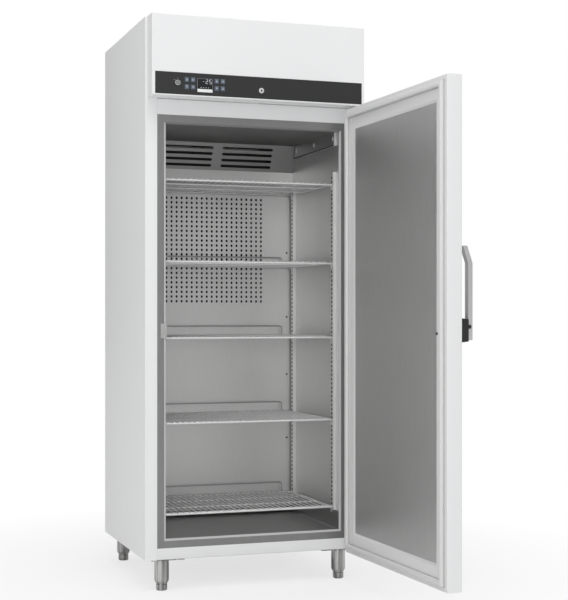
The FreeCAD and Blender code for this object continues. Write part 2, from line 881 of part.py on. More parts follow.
def hinge_brackets():
    """Angle brackets on the cabinet's front with the two pins that carry the door."""
    xs = (hinge_x - bracket_in, hinge_x + bracket_out)
    tab = bracket_tab
    solids = []
    for sign, edge in ((-1, door_bottom), (1, door_top)):
        near = edge + sign * hinge_gap
        far = near + sign * hinge_plate_t
        tab_end = edge - sign * (gasket_inset - tab)
        arm = block(xs, (hinge_y - bracket_out, front), (min(near, far), max(near, far)))
        root = block(xs, (front - tab, front), (min(far, tab_end), max(far, tab_end)))
        foot = Vec(hinge_x, hinge_y, near)
        pin = Part.makeCylinder(hinge_pin_r, hinge_gap + pin_reach, foot, Vec(0, 0, -sign))
        solids.append(arm.fuse(root).fuse(pin).removeSplitter())
    return solids


def keeper_plate():
    """Small steel plate on the collar that the opening plunger pushes against."""
    x = -collar_x + keeper_inset
    z = plunger_z + keeper_h * 0.06
    ys = (collar_front - keeper_t, collar_front)
    return block((x, x + keeper_w), ys, (z - keeper_h / 2, z + keeper_h / 2))


def compressor():
    """Hermetic pot with domed ends, on a plate with four mounts."""
    foot = pot_foot_h
    arc = pot_dome
    low = deck_top + foot + pot_above_foot
    top = deck_top + foot + compressor_h
    turns = [math.radians(t) for t in (0, 30, 60, 90)]
    lower = [(compressor_r - arc + arc * math.sin(t), low + arc - arc * math.cos(t)) for t in turns]
    upper = [(compressor_r - arc + arc * math.cos(t), top - arc + arc * math.sin(t)) for t in turns]
    pot = faceted(lower + upper, 24, compressor_x, compressor_y)
    plate = block(
        (compressor_x - pot_plate_x / 2, compressor_x + pot_plate_x / 2),
        (compressor_y - pot_plate_y / 2, compressor_y + pot_plate_y / 2),
        (deck_top + foot, deck_top + foot + pot_plate_t))
    solids = [pot.fuse(plate).removeSplitter()]
    half = pot_foot_w / 2
    for x in (compressor_x - pot_foot_x, compressor_x + pot_foot_x):
        for y in (compressor_y - pot_foot_y, compressor_y + pot_foot_y):
            solids.append(block((x - half, x + half), (y - half, y + half), (deck_top, deck_top + foot)))
    return solids


def condenser_coil():
    """Finned condenser with two end plates that stand on the deck."""
    z0 = deck_top
    y0 = coil_y - coil_d / 2
    y1 = coil_y + coil_d / 2
    xs = (coil_x - coil_w / 2, coil_x + coil_w / 2)
    lip = end_plate_lip
    solids = [block(xs, (y0, y1), (z0 + coil_lift, z0 + coil_h))]
    for x0 in (xs[0] - end_plate, xs[1]):
        solids.append(block((x0, x0 + end_plate), (y0 - lip, y1), (z0, z0 + coil_h + lip)))
    return solids


def condenser_shroud():
    """Fan ring in front of the condenser, with the motor held on a cross strut."""
    z0 = deck_top
    zc = coil_middle
    y1 = coil_y - coil_d / 2 - end_plate_lip
    xs = (coil_x - coil_w / 2, coil_x + coil_w / 2)
    plate = block(xs, (y1 - end_plate, y1), (z0, z0 + coil_h))
    ring = faceted([(fan_r + fan_clear, -5), (fan_r + fan_clear, 5)], 32)
    ring.rotate(Vec(0, 0, 0), Vec(1, 0, 0), -90)
    ring.translate(Vec(coil_x, y1, zc))
    motor_y = condenser_fan_y() - fan_motor_l
    motor = Part.makeCylinder(fan_hub_r, fan_motor_l - fit_gap, Vec(coil_x, motor_y, zc), Vec(0, 1, 0))
    arm_y = motor_y + fan_strut_w / 2
    zs = (zc - fan_strut_w / 2, zc + fan_strut_w / 2)
    arm = block(xs, (arm_y, arm_y + fan_strut_t), zs)
    shroud = plate.cut(ring).fuse(motor).fuse(arm)
    for x0 in (xs[0], xs[1] - fan_strut_t):
        shroud = shroud.fuse(block((x0, x0 + fan_strut_t), (arm_y, y1), zs))
    return shroud.removeSplitter()


def condenser_fan_y():
    """Where the condenser fan's rotor starts, behind its motor."""
    return coil_y - coil_d / 2 - fan_depth - 3 * end_plate_lip


def condenser_fan():
    """Condenser fan, drawing air through the coil."""
    rotor = bladed_rotor(fan_hub_r, fan_r, fan_depth, 5, end_plate, 35.0)
    rotor.rotate(Vec(0, 0, 0), Vec(1, 0, 0), -90)
    rotor.translate(Vec(coil_x, condenser_fan_y(), coil_middle))
    return rotor


def bent_pipe(points, radius, bend):
    """A six-sided pipe through corner points; each corner is cut into two mitred half bends."""
    path = [points[0]]
    for before, corner, after in zip(points, points[1:], points[2:]):
        path.append(corner - (corner - before).normalize() * bend)
        path.append(corner + (after - corner).normalize() * bend)
    path.append(points[-1])
    ways = [(b - a).normalize() for a, b in zip(path, path[1:])]
    loop = six_sided(path[0], ways[0], radius)
    loops = [loop]
    for k in range(1, len(path)):
        normal = ways[k - 1] + ways[min(k, len(ways) - 1)]
        way = ways[k - 1]
        loop = [q + way * ((path[k] - q).dot(normal) / way.dot(normal)) for q in loop]
        loops.append(loop)
    return skinned(loops, True)


def six_sided(centre, way, radius):
    """Corner points of a hexagon square to a direction."""
    side = way.cross(Vec(0, 1, 0)) if abs(way.y) < 0.9 else way.cross(Vec(1, 0, 0))
    side.normalize()
    up = way.cross(side)
    turns = [math.pi * k / 3 for k in range(6)]
    return [centre + side * (radius * math.cos(t)) + up * (radius * math.sin(t)) for t in turns]


def refrigerant_pipes():
    """Discharge line from the pot to the coil, and the liquid line with its drier into the deck."""
    pot_top = deck_top + pot_foot_h + compressor_h
    pipe_top = pot_top + pipe_rise
    coil_end = coil_x + coil_w / 2 + end_plate
    pot_x = compressor_x - pipe_rise
    drop_x = coil_end + pipe_rise
    z = deck_top + pipe_inlet_h
    solids = [bent_pipe(
        [Vec(pot_x, compressor_y, pot_top), Vec(pot_x, compressor_y, pipe_top), Vec(pot_x, coil_y, pipe_top),
         Vec(drop_x, coil_y, pipe_top), Vec(drop_x, coil_y, z), Vec(coil_end, coil_y, z)], pipe_r, pipe_bend)]
    drier_x = coil_end + drier_h
    y = coil_y - coil_d / 4
    drier_y = coil_y - drier_len
    end_y = drier_y - drier_len
    z = deck_top + drier_h
    solids.append(bent_pipe(
        [Vec(coil_end, y, z), Vec(drier_x, y, z), Vec(drier_x, drier_y, z)], pipe_r, pipe_bend))
    solids.append(Part.makeCylinder(drier_r, drier_len, Vec(drier_x, drier_y, z), Vec(0, -1, 0)))
    solids.append(bent_pipe(
        [Vec(drier_x, end_y, z), Vec(drier_x, end_y - drier_h, z), Vec(drier_x, end_y - drier_h, deck_top)],
        pipe_r, pipe_bend))
    return solids


def door_shell():
    """Folded steel pan: outer skin, four edges and a lip round the inner side."""
    front_edges = lambda p: p.y < door_outer + 1
    outer = rounded_box(
        (-door_x, door_x), (door_outer, door_inner), (door_bottom, door_top), bend_r, front_edges)
    lip_x = door_x - door_lip
    zs = (door_bottom + door_lip, door_top - door_lip)
    mouth = block((-lip_x, lip_x), (door_inner - 2 * sheet, door_inner + 1), zs)
    shell = outer.cut(inside_door()).cut(mouth)
    for cutter in door_bores(sheet + 1):
        shell = shell.cut(cutter)
    return shell


def inside_door():
    """The room inside the door's folded pan, rounded at its front edges."""
    x = door_x - sheet
    zs = (door_bottom + sheet, door_top - sheet)
    return rounded_box(
        (-x, x), (door_outer + sheet, door_inner - sheet), zs, bend_r - sheet,
        lambda p: p.y < door_outer + sheet + 1)


def door_bores(depth):
    """Holes in the closed door for both hinge pins, the lock bolt and the plunger."""
    radius = hinge_pin_r + 2 * fit_gap
    guide = bolt_w / 2 + 1
    x = lock_x - bolt_from_lock
    outside = Vec(handle_x, door_outer - 1, plunger_z)
    return [
        faceted([(radius, door_bottom - 1), (radius, door_bottom + depth)], 12, hinge_x, hinge_y),
        faceted([(radius, door_top - depth), (radius, door_top + 1)], 12, hinge_x, hinge_y),
        block((x - guide, x + guide), (bolt_y - guide, bolt_y + guide), (door_top - depth, door_top + 1)),
        many_sided_rod(outside, -90, plunger_r + 2 * fit_gap, door_t + door_gap)]


def door_frame():
    """Plastic frame on the inner side: a groove for the gasket and a band that slopes to the panel."""
    start = door_lip + 0.2
    groove = gasket_inset - 0.5
    groove_end = gasket_inset + gasket_w + 0.5
    profile = [
        (start, sheet), (groove, sheet), (groove, 8.0), (groove_end, 8.0), (groove_end, 0.0),
        (frame_band - frame_bevel, 0.0), (frame_band, panel_recess), (frame_band, frame_depth),
        (start, frame_depth)]
    ring = mitred_ring(profile, door_x, door_bottom, door_top, door_inner, -1.0)
    return ring.cut(door_bores(1.0)[3])


def door_insulation():
    """Foam between the outer skin and the inner panel."""
    foam = inside_door()
    start = door_lip + 0.2
    frame_room = block(
        (-door_x + start, door_x - start), (door_inner - frame_depth, door_inner),
        (door_bottom + start, door_top - start))
    plug_x = door_x - frame_band
    plug = block(
        (-plug_x, plug_x), (door_inner - frame_depth, door_inner - panel_recess - sheet),
        (door_bottom + frame_band, door_top - frame_band))
    foam = foam.cut(frame_room).fuse(plug).removeSplitter()
    for cutter in door_bores(pin_reach + 4):
        foam = foam.cut(cutter)
    return foam


def door_inner_panel():
    """Brushed steel sheet set back inside the frame."""
    x = door_x - frame_band
    y = door_inner - panel_recess
    return block((-x, x), (y - sheet, y), (door_bottom + frame_band, door_top - frame_band))


def door_gasket():
    """Magnetic gasket: a foot in the frame's groove, a bellows and a flat sealing face."""
    a = gasket_inset
    b = gasket_inset + gasket_w
    tip = door_gap - fit_gap
    profile = [
        (a, 7.8), (b, 7.8), (b, 4.5), (b - 3, 3.0), (b - 3, 0.5), (b, -2.0), (b, -6.0), (b - 2.5, -8.0),
        (b, -10.5), (b, -tip), (a + 1, -tip), (a + 1, -10.5), (a + 3, -8.0), (a, -6.0), (a, -2.0),
        (a + 3, 0.5), (a + 3, 3.0), (a, 4.5)]
    return mitred_ring(profile, door_x, door_bottom, door_top, door_inner, -1.0)


def handle_base():
    """Tapered block on the door with two ears for the lever's pin and a pocket for its lower end."""
    gap_half = bar_w / 2 + fit_gap
    half = gap_half + base_ear
    y = door_outer
    low = handle_pin_z - base_below_pin
    high = handle_pin_z + base_above_pin
    outline = [
        Vec(-half, y, low), Vec(-half, y, high), Vec(-half, y - bar_offset, high - base_taper),
        Vec(-half, y - bar_offset, low + base_taper)]
    body = prism(outline, Vec(2 * half, 0, 0))
    face = y - bar_offset
    zs = (handle_pin_z - ear_high, handle_pin_z + ear_high)
    ears = block((-half, half), (face - ear_reach, face), zs)
    ears = ears.cut(block((-gap_half, gap_half), (face - ear_reach - 1, face), (zs[0] - 1, zs[1] + 1)))
    pocket = block((-gap_half, gap_half), (face - 1, face + pocket_depth), (low - 1, handle_pin_z + 1))
    plunger_bore = many_sided_rod(Vec(0, y + 1, plunger_z), 90, plunger_r + 2 * fit_gap, bar_offset + 2)
    body = body.fuse(ears).cut(pocket).cut(plunger_bore)
    body.translate(Vec(handle_x, 0, 0))
    pin = handle_pin(0.0)
    return [body.removeSplitter().cut(pin), pin]


def many_sided_rod(start, tilt, radius, length):
    """A twelve-sided rod from a point, upright before it is tilted about the X axis."""
    rod = faceted([(radius, 0), (radius, length)], 12)
    rod.rotate(Vec(0, 0, 0), Vec(1, 0, 0), tilt)
    rod.translate(start)
    return rod


def handle_pin(clearance):
    """The lever's pin through both ears, or a wider one to bore its hole."""
    reach = bar_w / 2 + fit_gap + base_ear
    y = door_outer - bar_offset - pin_in_bar
    if clearance > 0:
        start = Vec(handle_x - reach, y, handle_pin_z)
        return Part.makeCylinder(handle_pin_r + clearance, 2 * reach, start, Vec(1, 0, 0))
    pin = faceted([(handle_pin_r, -reach), (handle_pin_r, reach)], 12)
    pin.rotate(Vec(0, 0, 0), Vec(0, 1, 0), 90)
    pin.translate(Vec(handle_x, y, handle_pin_z))
    return pin


def handle_lever():
    """Flat steel bar, bent towards the door at its top, that pivots between the ears."""
    y_in = door_outer - bar_offset - fit_gap
    y_out = y_in - bar_t
    half = bar_w / 2
    low = handle_pin_z - bar_below_pin
    bend = handle_pin_z + bar_to_bend
    tip = handle_pin_z + bar_to_tip
    outline = [
        Vec(-half, y_in, low), Vec(-half, y_in, bend), Vec(-half, y_in + bar_bend_in, tip),
        Vec(-half, y_out + bar_bend_in, tip), Vec(-half, y_out, bend), Vec(-half, y_out, low)]
    lever = prism(outline, Vec(bar_w, 0, 0))
    long_edges = [e for e in lever.Edges if abs(e.BoundBox.XLength) < 0.01 and e.BoundBox.ZLength > 20]
    lever = lever.makeChamfer(bar_t / 10, long_edges)
    lever.translate(Vec(handle_x, 0, 0))
    return lever.cut(handle_pin(fit_gap))


def handle_plunger():
    """Rod through the door; the lever's lower end pushes it out against the cabinet."""
    outer_end = door_outer - bar_offset
    length = bar_offset + door_t + plunger_proud
    return Part.makeCylinder(plunger_r, length, Vec(handle_x, outer_end, plunger_z), Vec(0, 1, 0))


def write_cabinet():
    """Fixed pieces of the cabinet."""
    save("outer_casing", [outer_casing()])
    save("rear_grille", [rear_grille()])
    save("mains_inlet", [mains_inlet()])
    save("base_panel", [base_panel()])
    save("machine_deck", [machine_deck()])
    save("top_cover", [top_cover()])
    save("cabinet_insulation", [cabinet_insulation()])
    save("inner_liner", [inner_liner()])
    save("front_collar", [front_collar()])
    save("collar_trim", [collar_trim()])
    save("top_fascia", [top_fascia()])
    save("louvred_cover", [louvred_cover()])
    save("duct_panel", [duct_panel()])
    save("ceiling_rails", both_sides(ceiling_rail()))
    save("evaporator_coil", evaporator_coil())
    save("fan_plate", [fan_plate()])
    save("shelf_standards", standards())
    save("shelf_clips", shelf_clips())
    save("leg_sockets", leg_sockets())
    save("hinge_brackets", hinge_brackets())
    save("keeper_plate", [keeper_plate()])
    save("compressor", compressor())
    save("condenser_coil", condenser_coil())
    save("condenser_shroud", [condenser_shroud()])
    save("refrigerant_pipes", refrigerant_pipes())


def write_controls():
    """Control strip, its keys, the main switch and the door lock."""
    save("control_strip", [control_strip()])
    save("display_window", [display_window()])
    for number, (x, z) in enumerate(key_centres(), start=1):
        save("key_" + str(number), [control_key(x, z)])
    save("switch_barrel", [barrel(switch_x, switch_z, switch_r, switch_ring_r, lock_case_d)])
    save("lock_case", [lock_case()])
    save("lock_barrel", [barrel(lock_x, lock_z, lock_r, lock_ring_r, lock_case_d + 2 * strip_t)])
    save("lock_bolt", [lock_bolt()])


def write_moving_cabinet_pieces():
    """Shelves, levelling feet and fans."""
    for number, height in enumerate(shelf_heights, start=1):
        save("shelf_" + str(number), wire_shelf(height))
    for name, x, y in leg_places():
        save("foot_" + name, [levelling_foot(x, y)])
    save("evaporator_fan_left", [evaporator_fan(-small_fan_x)])
    save("evaporator_fan_right", [evaporator_fan(small_fan_x)])
    save("condenser_fan", [condenser_fan()])


def write_door():
    """Door pieces, swung open."""
    save("door_shell", [swing(door_shell())])
    save("door_insulation", [swing(door_insulation())])
    save("door_frame", [swing(door_frame())])
    save("door_gasket", [swing(door_gasket())])
    save("door_inner_panel", [swing(door_inner_panel())])
    save("handle_base", [swing(piece) for piece in handle_base()])
    save("handle_lever", [swing(handle_lever())])
    save("handle_plunger", [swing(handle_plunger())])


write_cabinet()
write_controls()
write_moving_cabinet_pieces()
write_door()
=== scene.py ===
# %% [markdown]
# # A laboratory freezer with its door open
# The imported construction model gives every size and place. This script dresses it: sheet metal gets folded
# edges, wires become round, the pierced wall gets all its holes, and every surface gets a finish that is worked
# out by nodes. We load the frame first, because everything after it is measured from its boxes.

# %% Load the frame
import json
import math

import bmesh
import bpy
import numpy as np
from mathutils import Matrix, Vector


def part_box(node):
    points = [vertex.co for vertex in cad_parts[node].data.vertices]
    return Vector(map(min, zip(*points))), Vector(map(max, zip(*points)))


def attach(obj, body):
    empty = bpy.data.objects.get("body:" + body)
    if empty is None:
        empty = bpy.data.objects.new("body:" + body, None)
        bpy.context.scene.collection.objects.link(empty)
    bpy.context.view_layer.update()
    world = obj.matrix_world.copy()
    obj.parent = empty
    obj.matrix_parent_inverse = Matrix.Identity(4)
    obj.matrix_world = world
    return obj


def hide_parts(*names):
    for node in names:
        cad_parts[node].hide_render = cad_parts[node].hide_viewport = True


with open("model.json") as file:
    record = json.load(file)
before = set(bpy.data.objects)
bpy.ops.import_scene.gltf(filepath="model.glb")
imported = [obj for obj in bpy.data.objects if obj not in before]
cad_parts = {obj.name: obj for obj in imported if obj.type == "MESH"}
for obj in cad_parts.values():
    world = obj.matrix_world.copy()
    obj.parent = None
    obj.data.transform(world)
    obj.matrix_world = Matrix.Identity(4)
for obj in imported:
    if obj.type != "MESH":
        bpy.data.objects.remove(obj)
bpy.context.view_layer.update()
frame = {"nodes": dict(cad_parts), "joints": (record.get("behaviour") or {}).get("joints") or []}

# %% [markdown]
# ## Helpers for surfaces
# Nearly everything here is a flat outline carried along a line, or round a corner. One function turns a stack
# of equal loops into faces, and small ones make the loops: rounding corners, folding sheet, turning a profile.
# Whole arrays are worked out at once, so a shelf with thirty wires costs the same few lines as one wire.


# %% Loops to faces
def lofted(loops, closed=False):
    """Faces between neighbouring loops. loops[i, j] is point j of loop i; cell (i, j) joins points j and j + 1
    of loops i and i + 1. A closed stack joins its last loop to its first, an open one gets flat ends."""
    loops = np.asarray(loops, float)
    count, size, _ = loops.shape
    row = np.arange(count if closed else count - 1)[:, None]
    column = np.arange(size)[None, :]
    below = (row + 1) % count
    beside = (column + 1) % size
    cells = np.stack(np.broadcast_arrays(
        row * size + column, row * size + beside, below * size + beside, below * size + column), -1)
    faces = cells.reshape(-1, 4).tolist()
    if not closed:
        faces.append(list(range(size - 1, -1, -1)))
        faces.append(list(range((count - 1) * size, count * size)))
    return loops.reshape(-1, 3), faces


def joined(*parts):
    """Several (points, faces) pairs as one: each part's corner numbers move up by the points before it."""
    starts = np.cumsum([0] + [len(points) for points, _ in parts])
    faces = [[corner + start for corner in face] for (_, faces), start in zip(parts, starts) for face in faces]
    return np.concatenate([points for points, _ in parts]), faces


print("a cube from two square loops has", len(lofted(np.zeros((2, 4, 3)))[1]), "faces")


# %% Outlines with arcs and folds
def unit(vectors):
    """Vectors over their own lengths."""
    return vectors / np.maximum(np.linalg.norm(vectors, axis=-1, keepdims=True), 1e-12)


def rounded(corners, radius, steps=4):
    """Every corner of a loop becomes an arc. With h half the corner's inner angle, the arc starts r / tan(h)
    from the corner and its centre lies r / sin(h) along the bisector; points between its two ends are their
    sum weighted by sin((1 - s) a) and sin(s a) over sin(a), where a is the turn."""
    p = np.asarray(corners, float)
    r = np.broadcast_to(np.asarray(radius, float), len(p))[:, None]
    back = unit(np.roll(p, 1, 0) - p)
    ahead = unit(np.roll(p, -1, 0) - p)
    inner = np.arccos(np.clip((back * ahead).sum(-1, keepdims=True), -1, 1))
    half = np.clip(inner / 2, 1e-3, math.pi / 2 - 1e-4)
    turn = (math.pi - 2 * half)[:, None]
    centre = (p + unit(back + ahead) * r / np.sin(half))[:, None]
    first = (p + back * r / np.tan(half))[:, None] - centre
    last = (p + ahead * r / np.tan(half))[:, None] - centre
    s = np.linspace(0, 1, steps + 1)[None, :, None]
    arcs = centre + (first * np.sin((1 - s) * turn) + last * np.sin(s * turn)) / np.sin(turn)
    return arcs.reshape(-1, p.shape[1])


def folded(path, sheet, bend, steps=3):
    """Section of a folded sheet. The second side is the path moved to its left by the sheet: at a fold by
    sheet (n1 + n2) / (1 + n1 . n2), where n1 and n2 are the two runs' normals. The outside of a fold has the
    bend radius and the inside that radius less the sheet."""
    p = np.asarray(path, float)
    run = unit(np.diff(p, axis=0))
    normal = np.stack([-run[:, 1], run[:, 0]], 1)
    before = np.concatenate([normal[:1], normal])
    after = np.concatenate([normal, normal[-1:]])
    moved = p + sheet * (before + after) / (1 + (before * after).sum(1, keepdims=True))
    left = (run[:-1, 0] * run[1:, 1] - run[:-1, 1] * run[1:, 0]) > 0
    near = np.concatenate([[0], np.where(left, bend, bend - sheet), [0]])
    far = np.concatenate([[0], np.where(left, bend - sheet, bend), [0]])
    return rounded(np.concatenate([p, moved[::-1]]), np.concatenate([near, far[::-1]]), steps)


def rectangle(low_u, high_u, low_v, high_v):
    """Four corners of a rectangle, against the clock."""
    return np.array([(low_u, low_v), (high_u, low_v), (high_u, high_v), (low_u, high_v)])


def placed(outline, axis, at):
    """A flat outline in space: its two numbers fill the two other axes, and the axis gets its place."""
    spots = {"x": (1, 2, 0), "y": (0, 2, 1), "z": (0, 1, 2)}[axis]
    points = np.full((len(outline), 3), float(at))
    points[:, spots[:2]] = outline
    return points


def extruded(outline, axis, low, high):
    """An outline carried straight along an axis."""
    return lofted([placed(outline, axis, low), placed(outline, axis, high)])


def slab(xs, ys, zs, edge=0.0002, steps=1):
    """A block with softened edges. Its outline shrinks towards both ends as a quarter circle does: at angle t
    the inset is edge (1 - sin t) and the depth edge (1 - cos t)."""
    t = np.linspace(0, math.pi / 2, steps + 1)
    inset = edge * (1 - np.sin(t))
    depth = edge * (1 - np.cos(t))
    loops = []
    for i, z in zip([*inset, *inset[::-1]], [*(zs[0] + depth), *(zs[1] - depth[::-1])]):
        outline = rectangle(xs[0] + i, xs[1] - i, ys[0] + i, ys[1] - i)
        loops.append(placed(rounded(outline, edge * 1.001 - i * 0.999, steps), "z", z))
    return lofted(loops)


def upright(shape, face, inward=1.0):
    """A lying sheet's points (u, v, w) stood up: x = u, z = v and y = face + inward * w."""
    points, faces = shape
    return np.stack([points[:, 0], face + inward * points[:, 2], points[:, 1]], 1), faces


print("corner arc of 3 mm:", np.round(rounded(rectangle(0, 1, 0, 1), 0.003, 2)[:3], 4).tolist())


# %% Frames, turned pieces and wires
def mitred(profile, half, low, high, face, inward=1.0):
    """A frame with mitred corners. A profile point (inset, depth) gives a rectangle that is the outer one
    shrunk by its inset, in the plane face + inward * depth."""
    inset, depth = np.asarray(profile, float).T
    x = half - inset
    corners = [(-x, low + inset), (x, low + inset), (x, high - inset), (-x, high - inset)]
    loops = np.stack([np.stack([cx, face + inward * depth, cz], 1) for cx, cz in corners])
    return lofted(loops, closed=True)


def sheet_pan(profile, half, low, high, face):
    """A shallow sheet pan. Its section runs from the front of the sheet, round the rim, to the back of the
    sheet, so the strip between its last and first point is left out and two flat faces close the middle."""
    points, faces = mitred(profile, half, low, high, face)
    size = len(profile)
    rim = [rim_face for place, rim_face in enumerate(faces) if place % size != size - 1]
    front = [corner * size for corner in range(4)]
    back = [corner * size + size - 1 for corner in range(4)]
    return points, rim + [front, back[::-1]]


def turned(profile, centre, axis="z", sides=32, ring=False):
    """A profile of (radius, height) turned about an axis: (r cos t, r sin t, h), with h along the axis.
    A ring's profile closes on itself; any other profile ends in a flat disc at both ends."""
    radius, height = np.asarray(profile, float).T
    t = np.linspace(0, 2 * math.pi, sides, endpoint=False)
    loops = np.stack(np.broadcast_arrays(
        radius[:, None] * np.cos(t), radius[:, None] * np.sin(t), height[:, None] + 0 * t), -1)
    order = {"z": [0, 1, 2], "y": [0, 2, 1], "x": [2, 0, 1]}[axis]
    points, faces = lofted(loops[..., order], closed=ring)
    return points + np.asarray(centre, float), faces


def circles(side, up, radius, sides):
    """Circles on pairs of square directions: r (cos t side + sin t up)."""
    t = (np.arange(sides) * 2 * math.pi / sides)[:, None]
    return radius * (np.cos(t) * side[:, None] + np.sin(t) * up[:, None])


def wires(starts, ends, radius, sides=10):
    """Straight round wires, all at once: each has a circle at its start and one at its end."""
    starts = np.atleast_2d(np.asarray(starts, float))
    ends = np.atleast_2d(np.asarray(ends, float))
    along = unit(ends - starts)
    helper = np.where(np.abs(along[:, 2:]) > 0.9, [[1.0, 0, 0]], [[0, 0, 1.0]])
    side = unit(np.cross(along, helper))
    circle = circles(side, np.cross(side, along), radius, sides)
    points = np.stack([starts[:, None] + circle, ends[:, None] + circle], 1)
    return joined(*[lofted(wire) for wire in points])


def bent_wire(path, bend, radius, across, sides=10):
    """A round wire along a path with rounded bends. Its circle stands on the mean direction at each point,
    with one diameter along the fixed direction across."""
    path = rounded(path, [0] + [bend] * (len(path) - 2) + [0], 6)
    path = path[np.concatenate([[True], np.linalg.norm(np.diff(path, axis=0), axis=1) > 1e-7])]
    step = unit(np.diff(path, axis=0))
    along = unit(np.concatenate([step[:1], step[:-1] + step[1:], step[-1:]]))
    side = unit(np.cross(along, across))
    return lofted(path[:, None] + circles(side, np.cross(side, along), radius, sides))


print("one wire has", len(wires([0, 0, 0], [0, 0, 1], 0.001)[1]), "faces")


# %% Pierced sheets
def pierced(u_edges, v_edges, cells, outlines, thick):
    """A flat sheet with holes, as (u, v, w) points with w from 0 to thick. The sheet is a lattice of cells.
    A cell with a hole becomes four faces: each side of the cell and the quarter of the hole in front of it.
    An outline's points start in the direction of the cell's first corner, against the clock."""
    lattice = np.stack(np.meshgrid(u_edges, v_edges, indexing="ij"), -1).reshape(-1, 2)
    outlines = np.asarray(outlines, float)
    count, size, _ = outlines.shape
    flat = np.concatenate([lattice, outlines.reshape(-1, 2)])
    total = len(flat)
    points = np.concatenate([np.c_[flat, np.zeros(total)], np.c_[flat, np.full(total, thick)]])
    rows = len(v_edges)
    last_u, last_v = len(u_edges) - 1, rows - 1

    def corners(chosen):
        first = chosen @ [rows, 1]
        return np.stack([first, first + rows, first + rows + 1, first + 1], 1)

    around = corners(np.asarray(cells))
    holed = {tuple(cell) for cell in np.asarray(cells).tolist()}
    plain = [(a, b) for a in range(last_u) for b in range(last_v) if (a, b) not in holed]
    faces = [corners(np.array(plain))] if plain else []
    first = (len(lattice) + np.arange(count) * size)[:, None]
    for k in range(4):
        arc = first + (np.arange((k + 1) * size // 4, k * size // 4 - 1, -1) % size)
        faces.append(np.concatenate([around[:, [k]], around[:, [(k + 1) % 4]], arc], 1))
    walls = first + np.arange(size)
    following = np.roll(walls, -1, 1)
    tube = np.stack([walls, following, following + total, walls + total], -1).reshape(-1, 4)
    rim = np.concatenate([
        np.arange(last_u) * rows, last_u * rows + np.arange(last_v),
        np.arange(last_u, 0, -1) * rows + last_v, np.arange(last_v, 0, -1)])
    beside = np.roll(rim, -1)
    edge = np.stack([rim, beside, beside + total, rim + total], -1)
    front = [face for block in faces for face in block[:, ::-1].tolist()]
    back = [face for block in faces for face in (block + total).tolist()]
    return points, front + back + tube.tolist() + edge.tolist()


def round_holes(centres, radius, size=12):
    """Circles about many centres; each starts at the lower left, at 225 degrees."""
    t = math.radians(225) + np.arange(size) * 2 * math.pi / size
    return np.asarray(centres)[:, None] + radius * np.stack([np.cos(t), np.sin(t)], 1)


def slot_holes(centres, width, height, radius, steps=4):
    """Rounded rectangles about many centres, each starting at the middle of its lower left arc."""
    shape = rounded(rectangle(-width / 2, width / 2, -height / 2, height / 2), radius, steps)
    return np.asarray(centres)[:, None] + np.roll(shape, -(steps // 2), 0)


def punched(ends_u, ends_v, places_u, places_v, room, slot, thick, steps=4):
    """A sheet with the same slot at every crossing of two rows of places. Each slot gets a cell of its own,
    room[0] wide and room[1] high; slot is its width, height and corner radius."""
    edges = [
        np.unique(np.round([*ends, *(places - wide / 2), *(places + wide / 2)], 6))
        for ends, places, wide in ((ends_u, places_u, room[0]), (ends_v, places_v, room[1]))]
    centres = np.array([(u, v) for u in places_u for v in places_v])
    cells = np.stack([np.searchsorted(edges[k], centres[:, k]) - 1 for k in (0, 1)], 1)
    return pierced(*edges, cells, slot_holes(centres, *slot, steps), thick)


one_cell = pierced([0, 1], [0, 1], [(0, 0)], round_holes([(0.5, 0.5)], 0.2), 0.1)
print("one pierced cell has", len(one_cell[1]), "faces")

# %% [markdown]
# ## Finishes
# A finish is a small set of nodes read from Object coordinates, so a pattern keeps its size on every piece.
# Powder coat has a faint orange peel, brushed steel has noise stretched along the grain, and moulded plastic
# has a soft skin. Colours are a little off pure white or grey, as paint and metal are under studio light.


# %% Node helpers
def add(tree, kind, **inputs):
    """A new node with values on its sockets; an underscore in a socket's name stands for a space."""
    made = tree.nodes.new(kind)
    for socket, value in inputs.items():
        made.inputs[socket.replace("_", " ")].default_value = value
    return made


def link(tree, *rows):
    """Links between nodes; each row is a node, its output, the next node and its input."""
    for source, output, target, socket in rows:
        tree.links.new(source.outputs[output], target.inputs[socket])


def shader(material):
    """The one shader of a material."""
    return material.node_tree.nodes["Principled BSDF"]


def finish(name, colour, roughness, metallic=0.0, **sockets):
    """A plain finish; further numbers go straight to the shader's own sockets."""
    material = bpy.data.materials.new(name)
    material.use_nodes = True
    values = {"Base Color": (*colour, 1), "Roughness": roughness, "Metallic": metallic, **sockets}
    for socket, value in values.items():
        shader(material).inputs[socket.replace("_", " ")].default_value = value
    return material


def noise(material, scale, stretch=(1, 1, 1), detail=2.0):
    """Noise on Object coordinates, stretched by a Mapping node; gives the noise node back."""
    tree = material.node_tree
    place = add(tree, "ShaderNodeTexCoord")
    mapping = add(tree, "ShaderNodeMapping", Scale=stretch)
    grain = add(tree, "ShaderNodeTexNoise", Scale=scale, Detail=detail)
    link(tree, (place, "Object", mapping, "Vector"), (mapping, "Vector", grain, "Vector"))
    return grain


def bump(material, grain, strength, depth):
    """Noise as fine relief on the shader's normal."""
    relief = add(material.node_tree, "ShaderNodeBump", Strength=strength, Distance=depth)
    link(material.node_tree, (grain, "Fac", relief, "Height"), (relief, "Normal", shader(material), "Normal"))


def vary(material, grain, low, high):
    """The noise, spread between two values, drives the shader's roughness."""
    spread = add(material.node_tree, "ShaderNodeMapRange", From_Min=0.3, From_Max=0.7, To_Min=low, To_Max=high)
    link(material.node_tree, (grain, "Fac", spread, "Value"), (spread, "Result", shader(material), "Roughness"))


